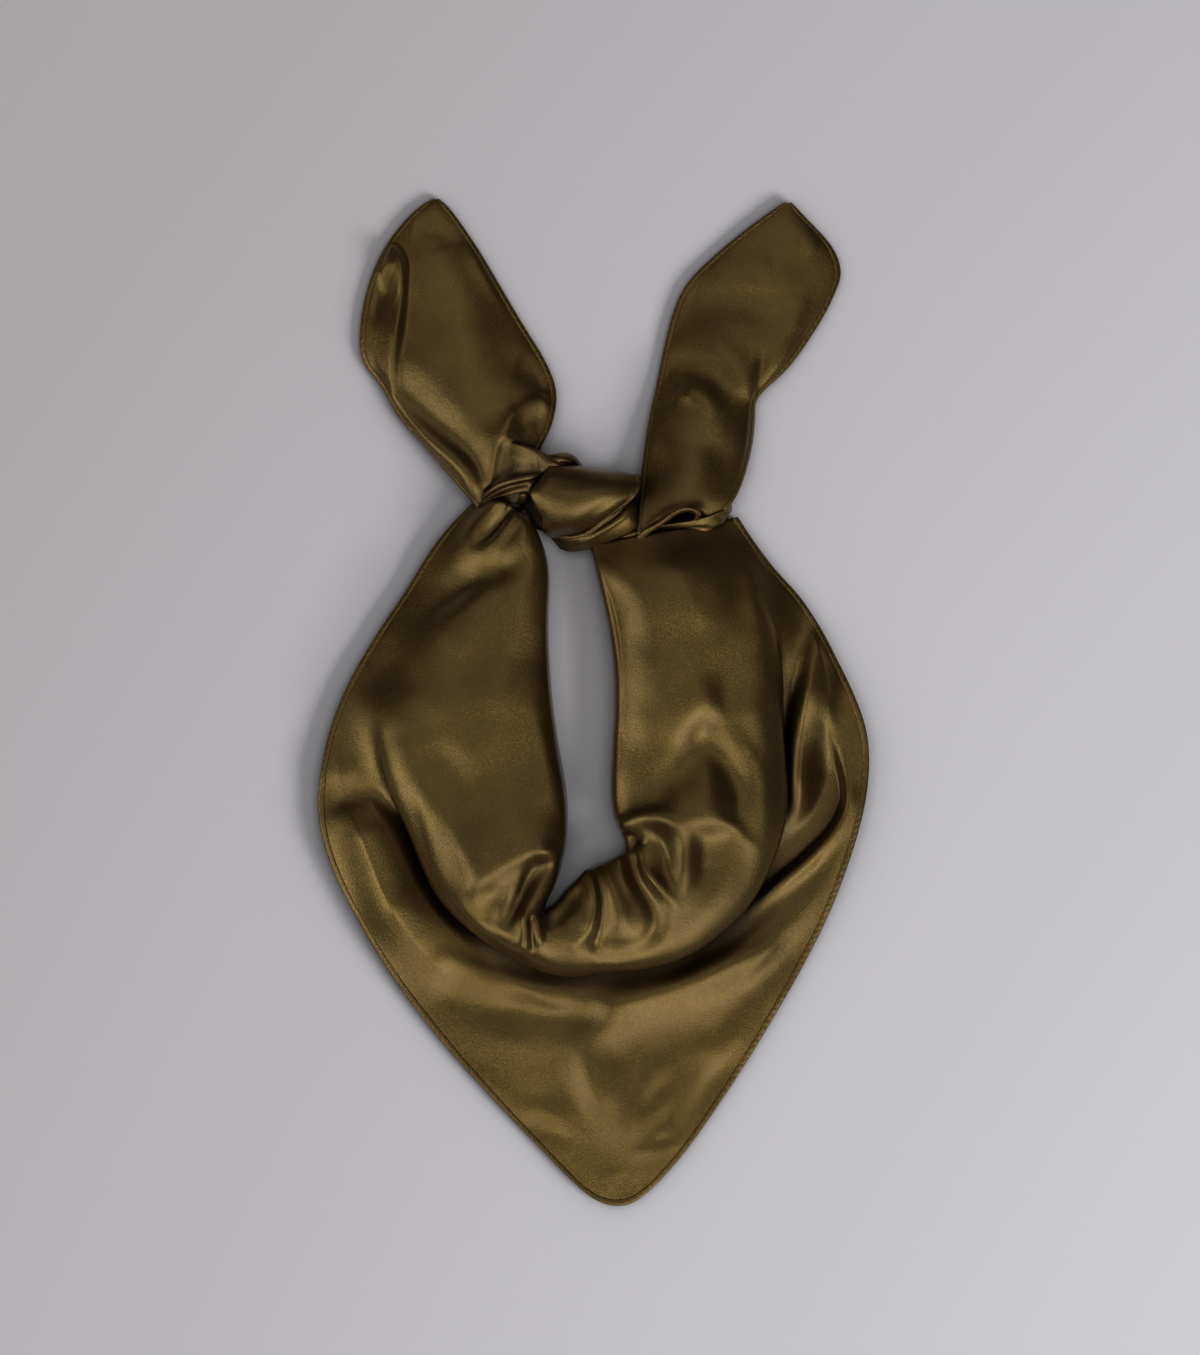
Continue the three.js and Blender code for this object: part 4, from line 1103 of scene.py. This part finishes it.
# %% Floor
floor_mesh = bpy.data.meshes.new("floor")
floor_mesh.from_pydata([(-9, -9, 0), (9, -9, 0), (9, 9, 0), (-9, 9, 0)], [], [(0, 1, 2, 3)])
floor = put_in_scene("floor", floor_mesh)
floor.location.z = -0.4 * MM    # just under the lowest cloth
paper, paper_tree, paper_shader = start_material("matt_paper")
paper_shader.inputs["Roughness"].default_value = 0.9
# Painted light: the paper's colour grows a little lighter towards the lower right.
paper_place = add_node(paper_tree, "ShaderNodeTexCoord")
painted_light_slope = add_node(
    paper_tree, "ShaderNodeVectorMath", {"operation": "DOT_PRODUCT"}, n0=paper_place.outputs["Object"],
)
painted_light_slope.inputs[1].default_value = (0.8, -0.6, 0.0)
painted_light_share = add_node(
    paper_tree, "ShaderNodeMapRange", {"From Min": -0.35, "From Max": 0.35},
    Value=painted_light_slope.outputs["Value"],
)
paper_tone_and_painted_light = add_node(paper_tree, "ShaderNodeValToRGB", n0=painted_light_share.outputs["Result"])
paper_tone_and_painted_light.color_ramp.elements[0].color = srgb("#dfdbde")
paper_tone_and_painted_light.color_ramp.elements[1].color = srgb("#eeecf1")
# Painted shade: an ambient occlusion node darkens the paper's colour close to the cloth.
paper_painted_shade_ao = add_node(paper_tree, "ShaderNodeAmbientOcclusion", {"Distance": 0.06})
paper_painted_shade_ao.samples = 4
paper_painted_shade_amount = add_node(
    paper_tree, "ShaderNodeMapRange", {"From Min": 0.3, "To Min": 0.45}, Value=paper_painted_shade_ao.outputs["AO"],
)
paper_tone_with_painted_shade = add_node(
    paper_tree, "ShaderNodeVectorMath", {"operation": "SCALE"},
    Vector=paper_tone_and_painted_light.outputs["Color"], Scale=paper_painted_shade_amount.outputs["Result"],
)
paper_tree.links.new(paper_tone_with_painted_shade.outputs["Vector"], paper_shader.inputs["Base Color"])
floor_mesh.materials.append(paper)


# %% [markdown]
# ## Lights
# The soft shadows on the surface fall to the upper left, while the satin also takes light from the
# left. Light linking keeps the two apart: three lamps are for the cloth and two are for the surface.

# %% Lights
lit_cloth = bpy.data.collections.new("lit_cloth")
for piece in all_pieces:
    lit_cloth.objects.link(piece)
lit_surface = bpy.data.collections.new("lit_surface")
lit_surface.objects.link(floor)


def add_light(name, place, size, power, lit):
    data = bpy.data.lights.new(name, "AREA")
    data.shape = "RECTANGLE"
    data.size, data.size_y = size
    data.energy = power
    light = put_in_scene(name, data)
    light.location = place
    aim = -light.location
    light.rotation_euler = aim.to_track_quat("-Z", "Y").to_euler()
    light.light_linking.receiver_collection = lit


add_light("key_front_right", (1.2, -2.48, 2.96), (2.9, 2.2), 70, lit_cloth)
add_light("side_left", (-1.6, -0.75, 1.7), (1.6, 1.2), 19, lit_cloth)
add_light("ceiling", (0, 1.0, 2.7), (2.0, 2.0), 8.6, lit_cloth)
add_light("surface_right", (2.6, -1.7, 1.6), (1.6, 1.2), 86, lit_surface)
add_light("surface_sky", (0, 0, 2.8), (3.0, 3.0), 30, lit_surface)
world = bpy.data.worlds.new("studio")
world.use_nodes = True
world.node_tree.nodes["Background"].inputs["Color"].default_value = srgb("#c8c8cc")
world.node_tree.nodes["Background"].inputs["Strength"].default_value = 0.03
bpy.context.scene.world = world
bpy.context.scene.view_settings.view_transform = "Standard"
